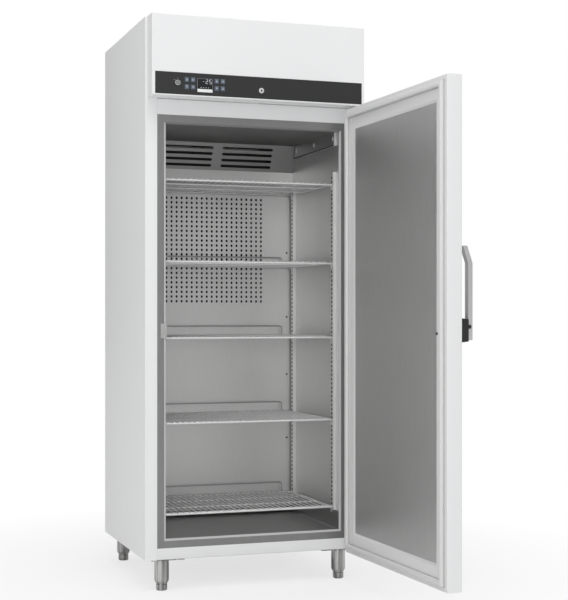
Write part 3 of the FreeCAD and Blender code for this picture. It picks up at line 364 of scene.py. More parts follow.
def tint(material, grain, dark, light):
    """The noise mixes two close colours."""
    ramp = add(material.node_tree, "ShaderNodeValToRGB")
    for element, position, colour in zip(ramp.color_ramp.elements, (0.35, 0.65), (dark, light)):
        element.position = position
        element.color = (*colour, 1)
    link(material.node_tree, (grain, "Fac", ramp, "Fac"), (ramp, "Color", shader(material), "Base Color"))


print("noise stretched 40 to 1 makes the grain of brushed steel")


# %% Kinds of finish
def coated(name, colour, roughness=0.38):
    """Powder coat: a faint orange peel and small changes of gloss."""
    made = finish(name, colour, roughness)
    bump(made, noise(made, 900, detail=1.0), 0.08, 0.0002)
    vary(made, noise(made, 6), roughness - 0.03, roughness + 0.04)
    return made


def brushed(name, shade, roughness, stretch, share=1.0, metallic=1.0):
    """Brushed steel: noise stretched along the grain changes tone, gloss and relief together. The share
    makes the grain weaker where the steel is only lightly brushed."""
    made = finish(name, (shade, shade, shade * 0.99), roughness, metallic)
    grain = noise(made, 30, stretch, 4.0)
    dark, light = shade * (1 - 0.06 * share), shade * (1 + 0.05 * share)
    tint(made, grain, (dark,) * 3, (light, light, light * 0.99))
    vary(made, grain, roughness - 0.05 * share, roughness + 0.08 * share)
    bump(made, grain, 0.12 * share, 0.0001)
    return made


def moulded(name, colour, roughness):
    """Moulded plastic or rubber: a soft fine skin."""
    made = finish(name, colour, roughness)
    bump(made, noise(made, 1500, detail=1.0), 0.06, 0.0001)
    return made


def uneven(name, colour, roughness, metallic, scale, low, high, **sockets):
    """A plain finish whose gloss changes a little from place to place."""
    made = finish(name, colour, roughness, metallic, **sockets)
    vary(made, noise(made, scale), low, high)
    return made


print("kinds of finish: powder coat, brushed steel, moulded plastic, uneven gloss")

# %% The finishes
upright_grain, lying_grain = (12, 12, 0.5), (0.5, 12, 12)
white_coat = coated("white_coat", (0.86, 0.865, 0.87))
lining_steel = brushed("lining_steel", 0.62, 0.40, upright_grain, 0.3)
door_steel = brushed("door_steel", 0.63, 0.46, (12, 12, 0.35), 0.6)
# Darker copy of the lining steel for the plate under the ceiling: painted shade.
ceiling_steel = brushed("ceiling_steel", 0.29, 0.40, lying_grain)
# Darker copy of the lining steel for the sloping cover, which faces down: painted shade.
cover_steel = brushed("cover_steel", 0.34, 0.40, upright_grain)
# Darker copy of the lining steel for a pan on the chamber floor: painted shade.
tray_steel = brushed("tray_steel", 0.39, 0.38, (12, 0.5, 12))
collar_steel = brushed("collar_steel", 0.31, 0.42, upright_grain)
handle_steel = brushed("handle_steel", 0.62, 0.33, (14, 14, 0.6))
bar_steel = brushed("bar_steel", 0.64, 0.42, (14, 14, 0.6), 0.6, metallic=0.55)
standard_steel = brushed("standard_steel", 0.80, 0.45, upright_grain)
leg_steel = finish("leg_steel", (0.44, 0.44, 0.435), 0.22, 1.0)
# Noise stretched upright darkens and lightens the leg steel in streaks: painted reflections of the surroundings.
painted_reflection_streaks = noise(leg_steel, 30, (3, 3, 0.12))
tint(leg_steel, painted_reflection_streaks, (0.20, 0.20, 0.20), (0.66, 0.66, 0.65))
vary(leg_steel, painted_reflection_streaks, 0.18, 0.30)
bright_wire = uneven("bright_wire", (0.76, 0.76, 0.76), 0.42, 0.55, 120, 0.38, 0.48)
# Darker copy of the wire finish for the rear stops: painted shade.
stop_wire = uneven("stop_wire", (0.38, 0.38, 0.385), 0.4, 0.9, 120, 0.36, 0.46)
screw_steel = uneven("screw_steel", (0.14, 0.14, 0.145), 0.4, 1.0, 400, 0.34, 0.48)
fin_aluminium = uneven("fin_aluminium", (0.6, 0.61, 0.62), 0.45, 1.0, 80, 0.38, 0.55)
zinc = finish("zinc", (0.55, 0.56, 0.57), 0.42, 1.0)
tint(zinc, noise(zinc, 60), (0.48, 0.49, 0.5), (0.6, 0.61, 0.62))
copper = finish("copper", (0.72, 0.36, 0.22), 0.32, 1.0)
tint(copper, noise(copper, 40), (0.6, 0.28, 0.17), (0.78, 0.42, 0.27))
frame_plastic = moulded("frame_plastic", (0.77, 0.77, 0.768), 0.42)
trim_plastic = moulded("trim_plastic", (0.57, 0.57, 0.57), 0.45)
# Near-black copy of the trim plastic for the trim's top run: painted shade.
header_plastic = moulded("header_plastic", (0.20, 0.20, 0.20), 0.45)
# Darker grey for the strip on the handle bar's inner face: painted shade.
liner_plastic = moulded("liner_plastic", (0.42, 0.42, 0.42), 0.5)
gasket_rubber = moulded("gasket_rubber", (0.72, 0.72, 0.718), 0.55)
strip_plastic = moulded("strip_plastic", (0.019, 0.019, 0.0195), 0.55)
key_plastic = moulded("key_plastic", (0.095, 0.120, 0.160), 0.55)
black_plastic = moulded("black_plastic", (0.02, 0.02, 0.021), 0.42)
foam = moulded("foam", (0.86, 0.82, 0.62), 0.85)
pot_paint = coated("pot_paint", (0.02, 0.02, 0.022), 0.3)
# Near-black finish: on the duct sheets, the standards' backs and the fan plate it is painted shade; the evaporator
# coil gets it too.
coil_coating = coated("coil_coating", (0.034, 0.034, 0.035), 0.5)
display_glass = uneven("display_glass", (0.006, 0.007, 0.009), 0.12, 0.0, 15, 0.09, 0.15, Coat_Weight=0.4)
mark_print = uneven("mark_print", (0.50, 0.53, 0.57), 0.5, 0.0, 300, 0.45, 0.55)
digit_light = finish(
    "digit_light", (0.62, 0.66, 0.72), 0.5, Emission_Color=(0.8, 0.88, 1.0, 1), Emission_Strength=0.18)
print("finishes:", len([m for m in bpy.data.materials if m.use_nodes]))


# %% From arrays to pieces
def piece(name, shape, material, body, slot, *replaced):
    """Puts points and faces into a mesh, merges doubles, turns the faces outwards and hands it to its body.
    Edges sharper than 35 degrees stay crisp."""
    points, faces = shape
    mesh = bpy.data.meshes.new(name)
    mesh.from_pydata(points.tolist(), [], faces)
    shell = bmesh.new()
    shell.from_mesh(mesh)
    bmesh.ops.remove_doubles(shell, verts=shell.verts, dist=1e-6)
    bmesh.ops.dissolve_degenerate(shell, edges=shell.edges, dist=1e-7)
    bmesh.ops.recalc_face_normals(shell, faces=shell.faces)
    shell.to_mesh(mesh)
    shell.free()
    mesh.polygons.foreach_set("use_smooth", np.ones(len(mesh.polygons), bool))
    mesh.set_sharp_from_angle(angle=math.radians(35))
    mesh.materials.append(material)
    made = bpy.data.objects.new(name, mesh)
    bpy.context.scene.collection.objects.link(made)
    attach(made, body)
    if replaced:
        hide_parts(*replaced)
    return made


def paint(material, *names):
    """Gives construction nodes that stay visible their finish."""
    for name in names:
        data = frame["nodes"][name].data
        data.materials.clear()
        data.materials.append(material)


def span(node):
    """A node's box in metres as two arrays."""
    low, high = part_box(node)
    return np.array(low), np.array(high)


def middle(node):
    """Middle of a node's box as seen from the front: x and z."""
    low, high = span(node)
    return (low[0] + high[0]) / 2, (low[2] + high[2]) / 2


case_low, case_high = span("outer_casing")
front_y, back_y = case_low[1], case_high[1]
print("casing, metres:", np.round(case_high - case_low, 4).tolist())

# %% [markdown]
# ## The casing
# The outside is white powder-coated sheet. Each side is one sheet that turns inwards at the front as a flange
# and at the back as a narrow return. It could be a box with bevelled edges, but carrying the folded section
# straight up gives the real soft edges, which catch the light. The back is a separate pierced panel.

# %% Sides of the casing
sheet = 0.001
fold = 0.003
flange_x = 0.353
back_return = 0.372
side_path = [(flange_x, front_y), (case_high[0], front_y), (case_high[0], back_y), (back_return, back_y)]
side_section = folded(side_path, sheet, fold, 5)
sides = [extruded(side_section * [side, 1], "z", case_low[2], case_high[2]) for side in (1, -1)]
casing = piece("casing_sides", joined(*sides), white_coat, "cabinet", "white_enamel", "outer_casing")
print("casing faces:", len(casing.data.polygons))

# %% Back panel with its two openings
grille_low, grille_high = span("rear_grille")
window_half = 0.360
window_low, window_high = grille_low[2] + 0.008, grille_high[2] - 0.008
inlet_x, inlet_z = middle("mains_inlet")
inlet_w, inlet_h = 0.048, 0.028
cell_x, cell_z, margin = 0.04, 0.02, 0.004
cell_top = inlet_z + cell_z
u_edges = [
    -back_return, -window_half - margin, inlet_x - cell_x, inlet_x + cell_x, window_half + margin, back_return]
inlet_hole = slot_holes([(inlet_x, inlet_z)], inlet_w, inlet_h, 0.002)
lower = pierced(u_edges, [case_low[2], inlet_z - cell_z, cell_top], [(2, 1)], inlet_hole, sheet)
window_hole = slot_holes([(0, (window_low + window_high) / 2)], 2 * window_half, window_high - window_low, 0.004)
upper = pierced([-back_return, back_return], [cell_top, case_high[2]], [(0, 0)], window_hole, sheet)
panels = joined(upright(lower, back_y, -1), upright(upper, back_y, -1))
piece("back_panel", panels, white_coat, "cabinet", "white_enamel", "outer_casing")
print("back window, metres:", round(2 * window_half, 3), round(window_high - window_low, 3))

# %% Grille behind the cooling unit
grille_x = np.linspace(-window_half + 0.02, window_half - 0.02, 26)
grille_z = window_low + (window_high - window_low) * np.array([1, 3, 5]) / 6
grille = punched(
    (grille_low[0], grille_high[0]), (grille_low[2], grille_high[2]), grille_x, grille_z, (0.022, 0.062),
    (0.009, 0.052, 0.0044), sheet)
piece("back_grille", upright(grille, grille_high[1], -1), white_coat, "cabinet", "white_enamel", "rear_grille")
print("grille slots:", len(grille_x) * len(grille_z))

# %% Lid with its warm-air slots
lid_low, lid_high = span("top_cover")
lid_x = np.linspace(-0.3, 0.3, 9)
lid_y = np.array([0.245, 0.262, 0.279])
points, faces = punched(
    (lid_low[0], lid_high[0]), (lid_low[1], lid_high[1]), lid_x, lid_y, (0.07, 0.014),
    (0.056, 0.007, 0.0034), sheet)
piece("lid", (points + [0, 0, lid_low[2]], faces), white_coat, "cabinet", "white_enamel", "top_cover")
print("lid slots:", len(lid_x) * len(lid_y))

# %% [markdown]
# ## Base and lintel
# Below and above the opening, a strip of the same white sheet closes the front between the two side flanges.
# Each is the bent edge of a larger plate. A hairline gap at both ends keeps the seams that can be seen on the
# real front, where one wide slab would hide them.

# %% Base pan and deck
seam = 0.0004
base_low, base_high = span("base_panel")
deck_low, deck_high = span("machine_deck")
base_path = [(base_high[1], base_low[2]), (front_y, base_low[2]), (front_y, base_high[2])]
deck_path = [(deck_high[1], deck_high[2]), (front_y, deck_high[2]), (front_y, deck_low[2])]
inner_x = flange_x - seam
for name, node, path, thick, wing_z in (
        ("base_pan", "base_panel", base_path, -sheet, base_low[2]),
        ("lintel", "machine_deck", deck_path, sheet, deck_high[2] - sheet)):
    strip = extruded(folded(path, thick, fold), "x", -inner_x, inner_x)
    wings = [
        slab(xs, (front_y + sheet + 0.0002, base_high[1]), (wing_z, wing_z + sheet), 0.0003)
        for xs in ((base_low[0], -inner_x), (inner_x, base_high[0]))]
    piece(name, joined(strip, *wings), white_coat, "cabinet", "white_enamel", node)
print("strip heights, metres:", round(base_high[2] - base_low[2], 3), round(deck_high[2] - deck_low[2], 3))

# %% [markdown]
# ## Collar, trim and chamber
# Between the white frame and the chamber runs a flat grey steel collar, and inside it a light edge with a step
# behind its face. Both are frames with mitred corners, so one profile of (inset, depth) points describes each.
# The edge's top run is near-black, painted shade, so it is a piece of its own. The chamber is brushed steel with
# softly bent corners. A pan on its floor and a plate under its ceiling are thin sheets darker than the walls,
# and the duct is lined with near-black sheets: all of it painted shade.

# %% Collar and trim
collar_low, collar_high = span("front_collar")
trim_low, trim_high = span("collar_trim")
collar_w = trim_low[0] - collar_low[0]
collar_profile = rounded(rectangle(0, collar_w, 0, sheet), 0.0002, 1)
collar = mitred(collar_profile, collar_high[0], collar_low[2], collar_high[2], collar_low[1])
piece("steel_collar", collar, collar_steel, "cabinet", "steel", "front_collar")
trim_w, trim_depth = 0.007, trim_high[1] - trim_low[1]
trim_profile = rounded(
    [(0, 0), (0.0038, 0.0003), (0.0042, 0.0036), (trim_w, 0.0046), (trim_w, trim_depth), (0, trim_depth)],
    [0.0003, 0.0006, 0.0006, 0.0004, 0.0003, 0.0003], 3)
points, _ = mitred(trim_profile, trim_high[0], trim_low[2], trim_high[2], trim_low[1])
bottom_left, bottom_right, top_right, top_left = points.reshape(4, len(trim_profile), 3)
trim = lofted([top_left, bottom_left, bottom_right, top_right])
piece("opening_trim", trim, trim_plastic, "cabinet", "frame_white", "collar_trim")
# The top run of the trim gets the near-black plastic: painted shade.
piece("trim_header", lofted([top_right, top_left]), header_plastic, "cabinet", "frame_white", "collar_trim")
print("collar width, metres:", round(collar_w, 4))

# %% Chamber walls
liner_low, liner_high = span("inner_liner")
wall_x, floor_z, ceiling_z = liner_high[0] - sheet, liner_low[2] + sheet, liner_high[2] - sheet
mouth_y, rear_y = liner_low[1], liner_high[1] - sheet
cove = 0.004
inside = rounded(rectangle(-wall_x, wall_x, floor_z, ceiling_z), cove)
outside = rounded(rectangle(-wall_x - sheet, wall_x + sheet, liner_low[2], liner_high[2]), cove + sheet)
chamber = lofted([
    placed(inside, "y", rear_y), placed(inside, "y", mouth_y),
    placed(outside, "y", mouth_y), placed(outside, "y", rear_y + sheet)])
piece("chamber", chamber, lining_steel, "cabinet", "steel", "inner_liner")
print("chamber inside, metres:", round(2 * wall_x, 3), round(rear_y - mouth_y, 3), round(ceiling_z - floor_z, 3))

# %% Plates of painted shade on the chamber's ceiling, duct and floor
duct_low, duct_high = span("duct_panel")
cover_low, cover_high = span("louvred_cover")
standard_low, standard_high = span("shelf_standards")
cover_top = cover_low[1] + 0.001
under_ceiling = (ceiling_z - 0.0006, ceiling_z - 0.0001)
before_rear = (rear_y - 0.0008, rear_y - 0.0001)
# The duct's back wall and ceiling get near-black sheets: painted shade behind the holes and slots.
for name, material, ys, zs, edge in (
        ("duct_lining", coil_coating, before_rear, (duct_low[2], liner_high[2] - 0.006), 0.0003),
        ("chamber_ceiling", ceiling_steel, (mouth_y + 0.001, cover_top), under_ceiling, 0.0002),
        ("duct_ceiling", coil_coating, (cover_top + 0.0002, rear_y - 0.001), under_ceiling, 0.0002)):
    piece(name, slab((cove - wall_x, wall_x - cove), ys, zs, edge), material, "cabinet", "steel")
# A thin darker pan on the floor, its sides turned up to the standards: painted shade on the floor and low walls.
floor_shade_x, floor_shade_z, floor_shade_top = wall_x - 0.0003, floor_z + 0.0002, standard_low[2] - 0.002
floor_shade_path = [(-floor_shade_x, floor_shade_top), (-floor_shade_x, floor_shade_z), (floor_shade_x, floor_shade_z), (floor_shade_x, floor_shade_top)]
floor_shade_pan = extruded(folded(floor_shade_path, 0.0006, cove, 4), "y", mouth_y + 0.001, rear_y - 0.001)
piece("chamber_tray", floor_shade_pan, tray_steel, "cabinet", "steel")
print("tray sides, metres:", round(floor_shade_top - floor_shade_z, 4))

# %% [markdown]
# ## Back wall
# The air duct in front of the evaporator is a steel panel with a field of holes, and above it a sloping cover
# with four rows of long slots. Cutting hundreds of holes one by one would be slow and leave poor faces, so
# both are pierced sheets worked out as a lattice; the cover's flat sheet is tilted into place.

# %% Duct panel with its field of holes
hole_pitch_x, hole_pitch_z = 0.0201, 0.0181
hole_columns, hole_rows, lowest_hole = 20, 23, 1.0077
hole_x = (np.arange(hole_columns) - (hole_columns - 1) / 2) * hole_pitch_x
hole_z = lowest_hole + np.arange(hole_rows) * hole_pitch_z
wall = upright(punched(
    (duct_low[0] + 0.0006, duct_high[0] - 0.0006), (duct_low[2], duct_high[2]), hole_x, hole_z,
    (hole_pitch_x, hole_pitch_z), (0.0080, 0.0102, 0.0038), sheet), duct_low[1])
returns = [
    slab((x0, x0 + sheet), (duct_low[1] + sheet, duct_high[1]), (duct_low[2], duct_high[2]), 0.0003)
    for x0 in (duct_low[0] + 0.0002, duct_high[0] - sheet - 0.0002)]
piece("duct_wall", joined(wall, *returns), lining_steel, "cabinet", "steel", "duct_panel")
screw = [(0.0005, 0), (0.0036, 0), (0.0042, -0.0006), (0.0036, -0.0016), (0.0018, -0.0022), (0.0002, -0.0024)]
screw_places = [(x, duct_low[1], z) for z in (0.470, 0.721, 0.947, 1.200) for x in (-0.298, 0.298)]
screws = [turned(screw, place, "y", 16) for place in screw_places]
piece("duct_screws", joined(*screws), screw_steel, "cabinet", "zinc")
print("holes in the duct panel:", hole_columns * hole_rows)

# %% Sloping cover with slots
slope_y, slope_z = duct_low[1] - cover_low[1], ceiling_z - cover_low[2]
cover_length = math.hypot(slope_y, slope_z)
louvre_length, louvre_height, louvre_gap = 0.204, 0.0108, 0.038
louvre_x = 0.004 + np.array([-1, 1]) * (louvre_gap + louvre_length) / 2
louvre_s = 0.0192 + 0.024 * np.arange(4)
cover_ends = (cover_low[0] + 0.0004, cover_high[0] - 0.0004)
points, faces = punched(
    cover_ends, (0.0, cover_length - 0.001), louvre_x, louvre_s, (louvre_length + 0.006, 0.014),
    (louvre_length, louvre_height, 0.0053), sheet, 6)
rise_y, rise_z = -slope_y / cover_length, slope_z / cover_length
u, v, w = points.T
tilted = np.stack([u, duct_low[1] + v * rise_y + w * rise_z, cover_low[2] + v * rise_z - w * rise_y], 1)
piece("sloping_cover", (tilted, faces), cover_steel, "cabinet", "steel", "louvred_cover")
print("cover slope, degrees from upright:", round(math.degrees(math.atan2(slope_y, slope_z)), 1))

# %% [markdown]
# ## Rails and standards
# Two shallow rails hang under the ceiling, with bright clips and a near-black strip along their bottom and rear
# end that is painted shade, and four slotted standards carry the shelves. A standard is a channel whose web is
# pierced, so its web is a pierced sheet, its two sides are plain strips, and a dark strip inside it is painted
# shade for the depth behind the slots.

# %% Ceiling rails
rail_low, rail_high = span("ceiling_rails")
rail_depth, rail_height, rail_wall = 0.008, 0.048, 0.0012
rail_rear_high = cover_low[1] - 0.002
rail_rear_low = rail_rear_high + rail_height * slope_y / slope_z
rail_outline = rounded([
    (rail_low[1], rail_low[2]), (rail_rear_low, rail_low[2]), (rail_rear_high, rail_high[2]),
    (rail_low[1], rail_high[2])], [0.004, 0.002, 0.0005, 0.004], 3)
# A near-black strip along each rail's bottom and rear end: painted shade of the gap there.
edge_w, edge_y, edge_z = 0.0035, rail_low[1] + 0.004, rail_high[2] - 0.001
band = np.array([
    (edge_y, rail_low[2]), (rail_rear_low, rail_low[2]), (rail_rear_high, edge_z),
    (rail_rear_high - edge_w, edge_z), (rail_rear_low - edge_w, rail_low[2] + edge_w),
    (edge_y, rail_low[2] + edge_w)])
clip_places = (rail_low[1] + 0.010, (rail_low[1] + rail_rear_high) / 2, rail_rear_high - 0.012)
parts, rail_shades, clips = [], [], []
for side in (-1, 1):
    face_x = side * (wall_x - rail_depth)
    parts.append(extruded(rail_outline, "x", face_x, face_x + side * rail_wall))
    xs = sorted((face_x, side * wall_x))
    parts.append(slab(xs, (rail_low[1], rail_low[1] + rail_wall), (rail_low[2] + 0.002, rail_high[2]), 0.0003))
    parts.append(slab(xs, (rail_low[1], rail_rear_low - 0.003), (rail_low[2], rail_low[2] + rail_wall), 0.0003))
    rail_shades.append(extruded(band, "x", face_x - side * 0.0006, face_x + side * 0.0002))
    xs = sorted((face_x, face_x - side * 0.0025))
    clips += [slab(xs, (y - 0.003, y + 0.003), (rail_high[2] - 0.030, rail_high[2] - 0.014), 0.0008, 2)
              for y in clip_places]
piece("ceiling_rails", joined(*parts), lining_steel, "cabinet", "steel", "ceiling_rails")
piece("rail_edging", joined(*rail_shades), black_plastic, "cabinet", "black")
piece("rail_clips", joined(*clips), bright_wire, "cabinet", "bright")
print("rails:", len(rail_shades), "clips:", len(clips))

# %% Slotted standards
standard_w, standard_t, standard_wall, slot_pitch = 0.025, 0.012, 0.0012, 0.0156
web_x = wall_x - standard_t
standard_z = (standard_low[2], standard_high[2])
slot_z = np.arange(standard_z[0] + slot_pitch / 2, standard_z[1] - slot_pitch / 2, slot_pitch)
fronts = [standard_low[1], standard_high[1] - standard_w]
parts, slot_shades = [], []
for y0 in fronts:
    y1 = y0 + standard_w
    points, faces = punched(
        (y0, y1), standard_z, np.array([y0 + standard_w / 2]), slot_z, (standard_w - 0.008, 0.0126),
        (0.0150, 0.0078, 0.0012), standard_wall, 2)
    u, v, w = points.T
    for side in (-1, 1):
        parts.append((np.stack([side * (web_x + w), u, v], 1), faces))
        xs = sorted((side * (web_x + standard_wall), side * wall_x))
        parts += [slab(xs, ys, standard_z, 0.0003) for ys in ((y0, y0 + standard_wall), (y1 - standard_wall, y1))]
        # A near-black strip behind each web: painted shade inside the channel, seen through the slots.
        xs = sorted((side * (web_x + 0.0030), side * (web_x + 0.0036)))
        slot_shades.append(slab(xs, (y0 + 0.0016, y1 - 0.0016), standard_z))
piece("slotted_standards", joined(*parts), standard_steel, "cabinet", "steel", "shelf_standards")
piece("standard_backs", joined(*slot_shades), coil_coating, "cabinet", "steel")
print("slots in each standard:", len(slot_z))

# %% [markdown]
# ## Shelves
# A shelf is a welded grid: thick rods across, thinner wires from front to back lying on them, and a raised
# wire at the rear that stops goods from touching the back wall. A curve with a bevel could make each wire, but
# here all of them are made in one call, and each end stands a little over the outer rod, as welded shelves
# have it.

# %% Shelf grids
front_r, rod_r, wire_r, stop_r = 0.0035, 0.003, 0.0021, 0.002
shelf_half = span("shelf_1")[1][0]
wire_count, wire_pitch = 28, 0.021
wire_x = wire_pitch * (np.arange(wire_count) - (wire_count - 1) / 2)
stop_x, stop_bend = 0.273, 0.010


def shelf_grid(low, high):
    """Rods across at the front, behind it, at both thirds and at the rear, two side rods, and the wires on
    them; and as a second shape the rear stop."""
    rod_z = low[2] + front_r
    y0, y1 = low[1] + front_r, high[1] - rod_r
    depth = y1 - y0
    side_x, top = shelf_half - rod_r, rod_z + front_r
    z = top - rod_r
    across = np.array([(-side_x, y, z) for y in (y0 + 0.020, y0 + depth / 3, y0 + 2 * depth / 3, y1)])
    along = np.array([(-side_x, y0, z), (side_x, y0, z)])
    thin = np.array([(x, y0 - 0.0015, top + wire_r * 0.8) for x in wire_x])
    stop = [(-stop_x, y1, z), (-stop_x, y1, high[2] - stop_r), (stop_x, y1, high[2] - stop_r), (stop_x, y1, z)]
    grid = joined(
        wires([-shelf_half, y0, rod_z], [shelf_half, y0, rod_z], front_r, 14),
        wires(across, across * [-1, 1, 1], rod_r, 12),
        wires(along, along + [0, depth + rod_r * 0.6, 0], rod_r, 12),
        wires(thin, thin + [0, depth + 0.003, 0], wire_r, 8))
    return grid, bent_wire(stop, stop_bend, stop_r, (0, 1, 0))


shelves = {number: span(f"shelf_{number}") for number in range(1, 6)}
for number, (low, high) in shelves.items():
    grid, stop = shelf_grid(low, high)
    body = f"shelf_{number}_body"
    piece(f"wire_shelf_{number}", grid, bright_wire, body, "bright", f"shelf_{number}")
    # The rear stop gets the darker wire finish: painted shade.
    piece(f"rear_stop_{number}", stop, stop_wire, body, "bright", f"shelf_{number}")
print("shelf heights, metres:", [round(low[2], 3) for low, _ in shelves.values()])

# %% Shelf clips
clip_half, clip_reach, clip_leg, clip_t = 0.005, 0.0132, 0.016, 0.0016
parts = []
for low, _ in shelves.values():
    top = low[2] + 2 * front_r - 2 * rod_r - 0.0003
    section = folded([(web_x - clip_reach, top), (web_x, top), (web_x, top - clip_leg)], -clip_t, 0.0018)
    for y in [y0 + standard_w / 2 for y0 in fronts]:
        parts += [extruded(section * [side, 1], "y", y - clip_half, y + clip_half) for side in (-1, 1)]
piece("shelf_clips", joined(*parts), bright_wire, "cabinet", "bright", "shelf_clips")
print("clips:", len(parts))

# %% [markdown]
# ## Legs, feet and hinges
# The legs are round stainless tubes that draw in to a neck, each with a screw foot and a groove between them.
# They are turned from a profile, since a lathe made the real ones too. The foot is its own body, because it
# screws in and out.

# %% Legs and feet
leg_low, leg_high = span("leg_sockets")
places = {name: sum(span(name)) / 2 for name in frame["nodes"] if name.startswith("foot_")}
leg_r, neck_r, stem_r, bore_r = 0.025, 0.0200, 0.008, 0.0088
plate_t = 0.003
leg_top = leg_high[2] - plate_t
leg_profile = rounded([
    (bore_r, leg_low[2]), (neck_r, leg_low[2]), (leg_r, leg_low[2] + 0.010), (leg_r, leg_top), (bore_r, leg_top)],
    [0.0002, 0.001, 0.003, 0.0005, 0.0002])
pad_r, bulge, pad_top = 0.0150, 0.0042, leg_low[2] - 0.0004
t = np.linspace(0, math.pi / 2, 6)
pad = [(0.0002, 0.0), (pad_r, 0.0), *zip(pad_r + bulge * np.sin(t), 0.0060 * (1 - np.cos(t)))]
pad += [(0.0192, pad_top - 0.0036), (0.0160, pad_top - 0.0030), (0.0160, pad_top), (stem_r, pad_top)]
parts, plates = [], []
for name, (x, y, _) in places.items():
    parts.append(turned(leg_profile, (x, y, 0), sides=40, ring=True))
    px, py = x - math.copysign(0.015, x), y - math.copysign(0.014, y)
    plates.append(slab((px - 0.060, px + 0.060), (py - 0.045, py + 0.045), (leg_top, leg_high[2]), 0.0008))
piece("legs", joined(*parts, *plates), leg_steel, "cabinet", "steel", "leg_sockets")
for name, (x, y, _) in places.items():
    stem_top = span(name)[1][2]
    foot = turned([*pad, (stem_r, stem_top - 0.001), (0.0002, stem_top)], (x, y, 0), sides=40)
    piece(name + "_pad", foot, leg_steel, name + "_body", "steel", name)
print("legs at, metres:", {name: np.round(c[:2], 3).tolist() for name, c in places.items()})

# %% Hinge brackets
bracket_low, bracket_high = span("hinge_brackets")
hinge = next(j for j in frame["joints"] if j["name"] == "door_hinge")
pivot = np.array(hinge["pos_m"][:2])
door_open = math.radians(-hinge["range_deg"][0])
arm_x = (pivot[0] - 0.014, pivot[0] + 0.012)
tab, plate, pin_r, pin_length = 0.003, 0.004, 0.005, 0.0155
arm = rounded(rectangle(*arm_x, bracket_low[1], front_y), [0.010, 0.010, 0.0005, 0.0005], 5)
parts = []
for end, inward, tab_end in ((bracket_low[2], 1, 0.121), (bracket_high[2], -1, 1.674)):
    inner = end + inward * plate
    parts += [
        extruded(arm, "z", end, inner), slab(arm_x, (front_y - tab, front_y), sorted((end, tab_end)), 0.0006),
        turned([(pin_r, inner), (pin_r, inner + inward * pin_length)], (*pivot, 0), sides=24)]
piece("hinge_arms", joined(*parts), handle_steel, "cabinet", "steel", "hinge_brackets")
print("door stands open by", round(math.degrees(door_open), 1), "degrees")

# %% [markdown]
# ## Head of the cabinet
# A folded white hood covers the front of the cooling unit. A black strip with the controls lies in its lower
# edge. The keys are separate caps, because each can be pressed, so the strip has a well for every one of them.

# %% Hood
hood_low, hood_high = span("top_fascia")
strip_low, strip_high = span("control_strip")
hood_edge, cut = 0.003, 0.0003
u = [hood_low[0] + hood_edge, hood_high[0] - hood_edge]
v = [hood_low[2] + hood_edge, hood_high[2] - hood_edge]
opening_w, _, opening_h = strip_high - strip_low + 2 * cut
face_hole = slot_holes([middle("control_strip")], opening_w, opening_h, 0.0005, 2)
hood_face = upright(pierced(u, v, [(0, 0)], face_hole, sheet), hood_low[1])
hood_depth = hood_high[1] - hood_low[1]
hood_profile = rounded(
    [(hood_edge, 0), (0, 0), (0, hood_depth), (sheet, hood_depth), (sheet, sheet), (hood_edge, sheet)],
    [0, hood_edge * 0.999, 0.0003, 0.0003, hood_edge - sheet, 0], 5)
hood_rim = mitred(hood_profile, hood_high[0], hood_low[2], hood_high[2], hood_low[1])
piece("hood", joined(hood_face, hood_rim), white_coat, "cabinet", "white_enamel", "top_fascia")
print("hood, metres:", np.round(hood_high - hood_low, 3).tolist())

# %% Control strip
# Holes that share a column are found by their x; every column becomes one pierced plate as high as the strip.
keys = {f"key_{n}": span(f"key_{n}") for n in range(1, 9)}
display_low, display_high = span("display_window")
columns = {}
for name, gap, corner in [(name, 0.0003, 0.0018) for name in keys] + [("display_window", 0.0002, 0.0015)]:
    x, z = middle(name)
    w, _, h = span(name)[1] - span(name)[0] + 2 * gap
    hole = slot_holes([(x, z)], w, h, corner)[0]
    columns.setdefault(round(x, 4), []).append((z, w / 2 + 0.001, h / 2 + 0.001, hole))
for name in ("switch_barrel", "lock_barrel"):
    x, z = middle(name)
    columns[round(x, 4)] = [(z, 0.012, 0.011, round_holes([(x, z)], 0.0073, 20)[0])]
borders = [x + s * holes[0][1] for x, holes in columns.items() for s in (-1, 1)]
edges_x = sorted([strip_low[0], strip_high[0], *borders])
parts = []
for left, right in zip(edges_x[:-1], edges_x[1:]):
    found = [column for x, column in columns.items() if left < x < right]
    holes = sorted(sum(found, []), key=lambda hole: hole[0])
    if holes:
        edges_z = [strip_low[2], *(z + s * half for z, _, half, _ in holes for s in (-1, 1)), strip_high[2]]
        cells = [(0, 2 * n + 1) for n in range(len(holes))]
        plate = pierced([left, right], edges_z, cells, [hole[3] for hole in holes], strip_high[1] - strip_low[1])
        parts.append(upright(plate, strip_low[1]))
    else:
        blank = rectangle(left, right, strip_low[2], strip_high[2])
        parts.append(extruded(blank, "y", strip_low[1], strip_high[1]))
well_floor = slab(
    (min(low[0] for low, _ in keys.values()) - 0.002, max(high[0] for _, high in keys.values()) + 0.002),
    (strip_low[1] + 0.0035, strip_high[1] - 0.0002), (strip_low[2] + 0.012, strip_high[2] - 0.006))
piece("control_strip", joined(*parts, well_floor), strip_plastic, "cabinet", "black_panel", "control_strip")
print("strip, metres:", np.round(strip_high - strip_low, 4).tolist())

# %% Keys and their signs
mark_t = 0.00012


def bar_mark(x, z, w, h, y):
    """A small printed bar on a face."""
    return slab((x - w / 2, x + w / 2), (y - mark_t, y), (z - h / 2, z + h / 2), 0.00004)


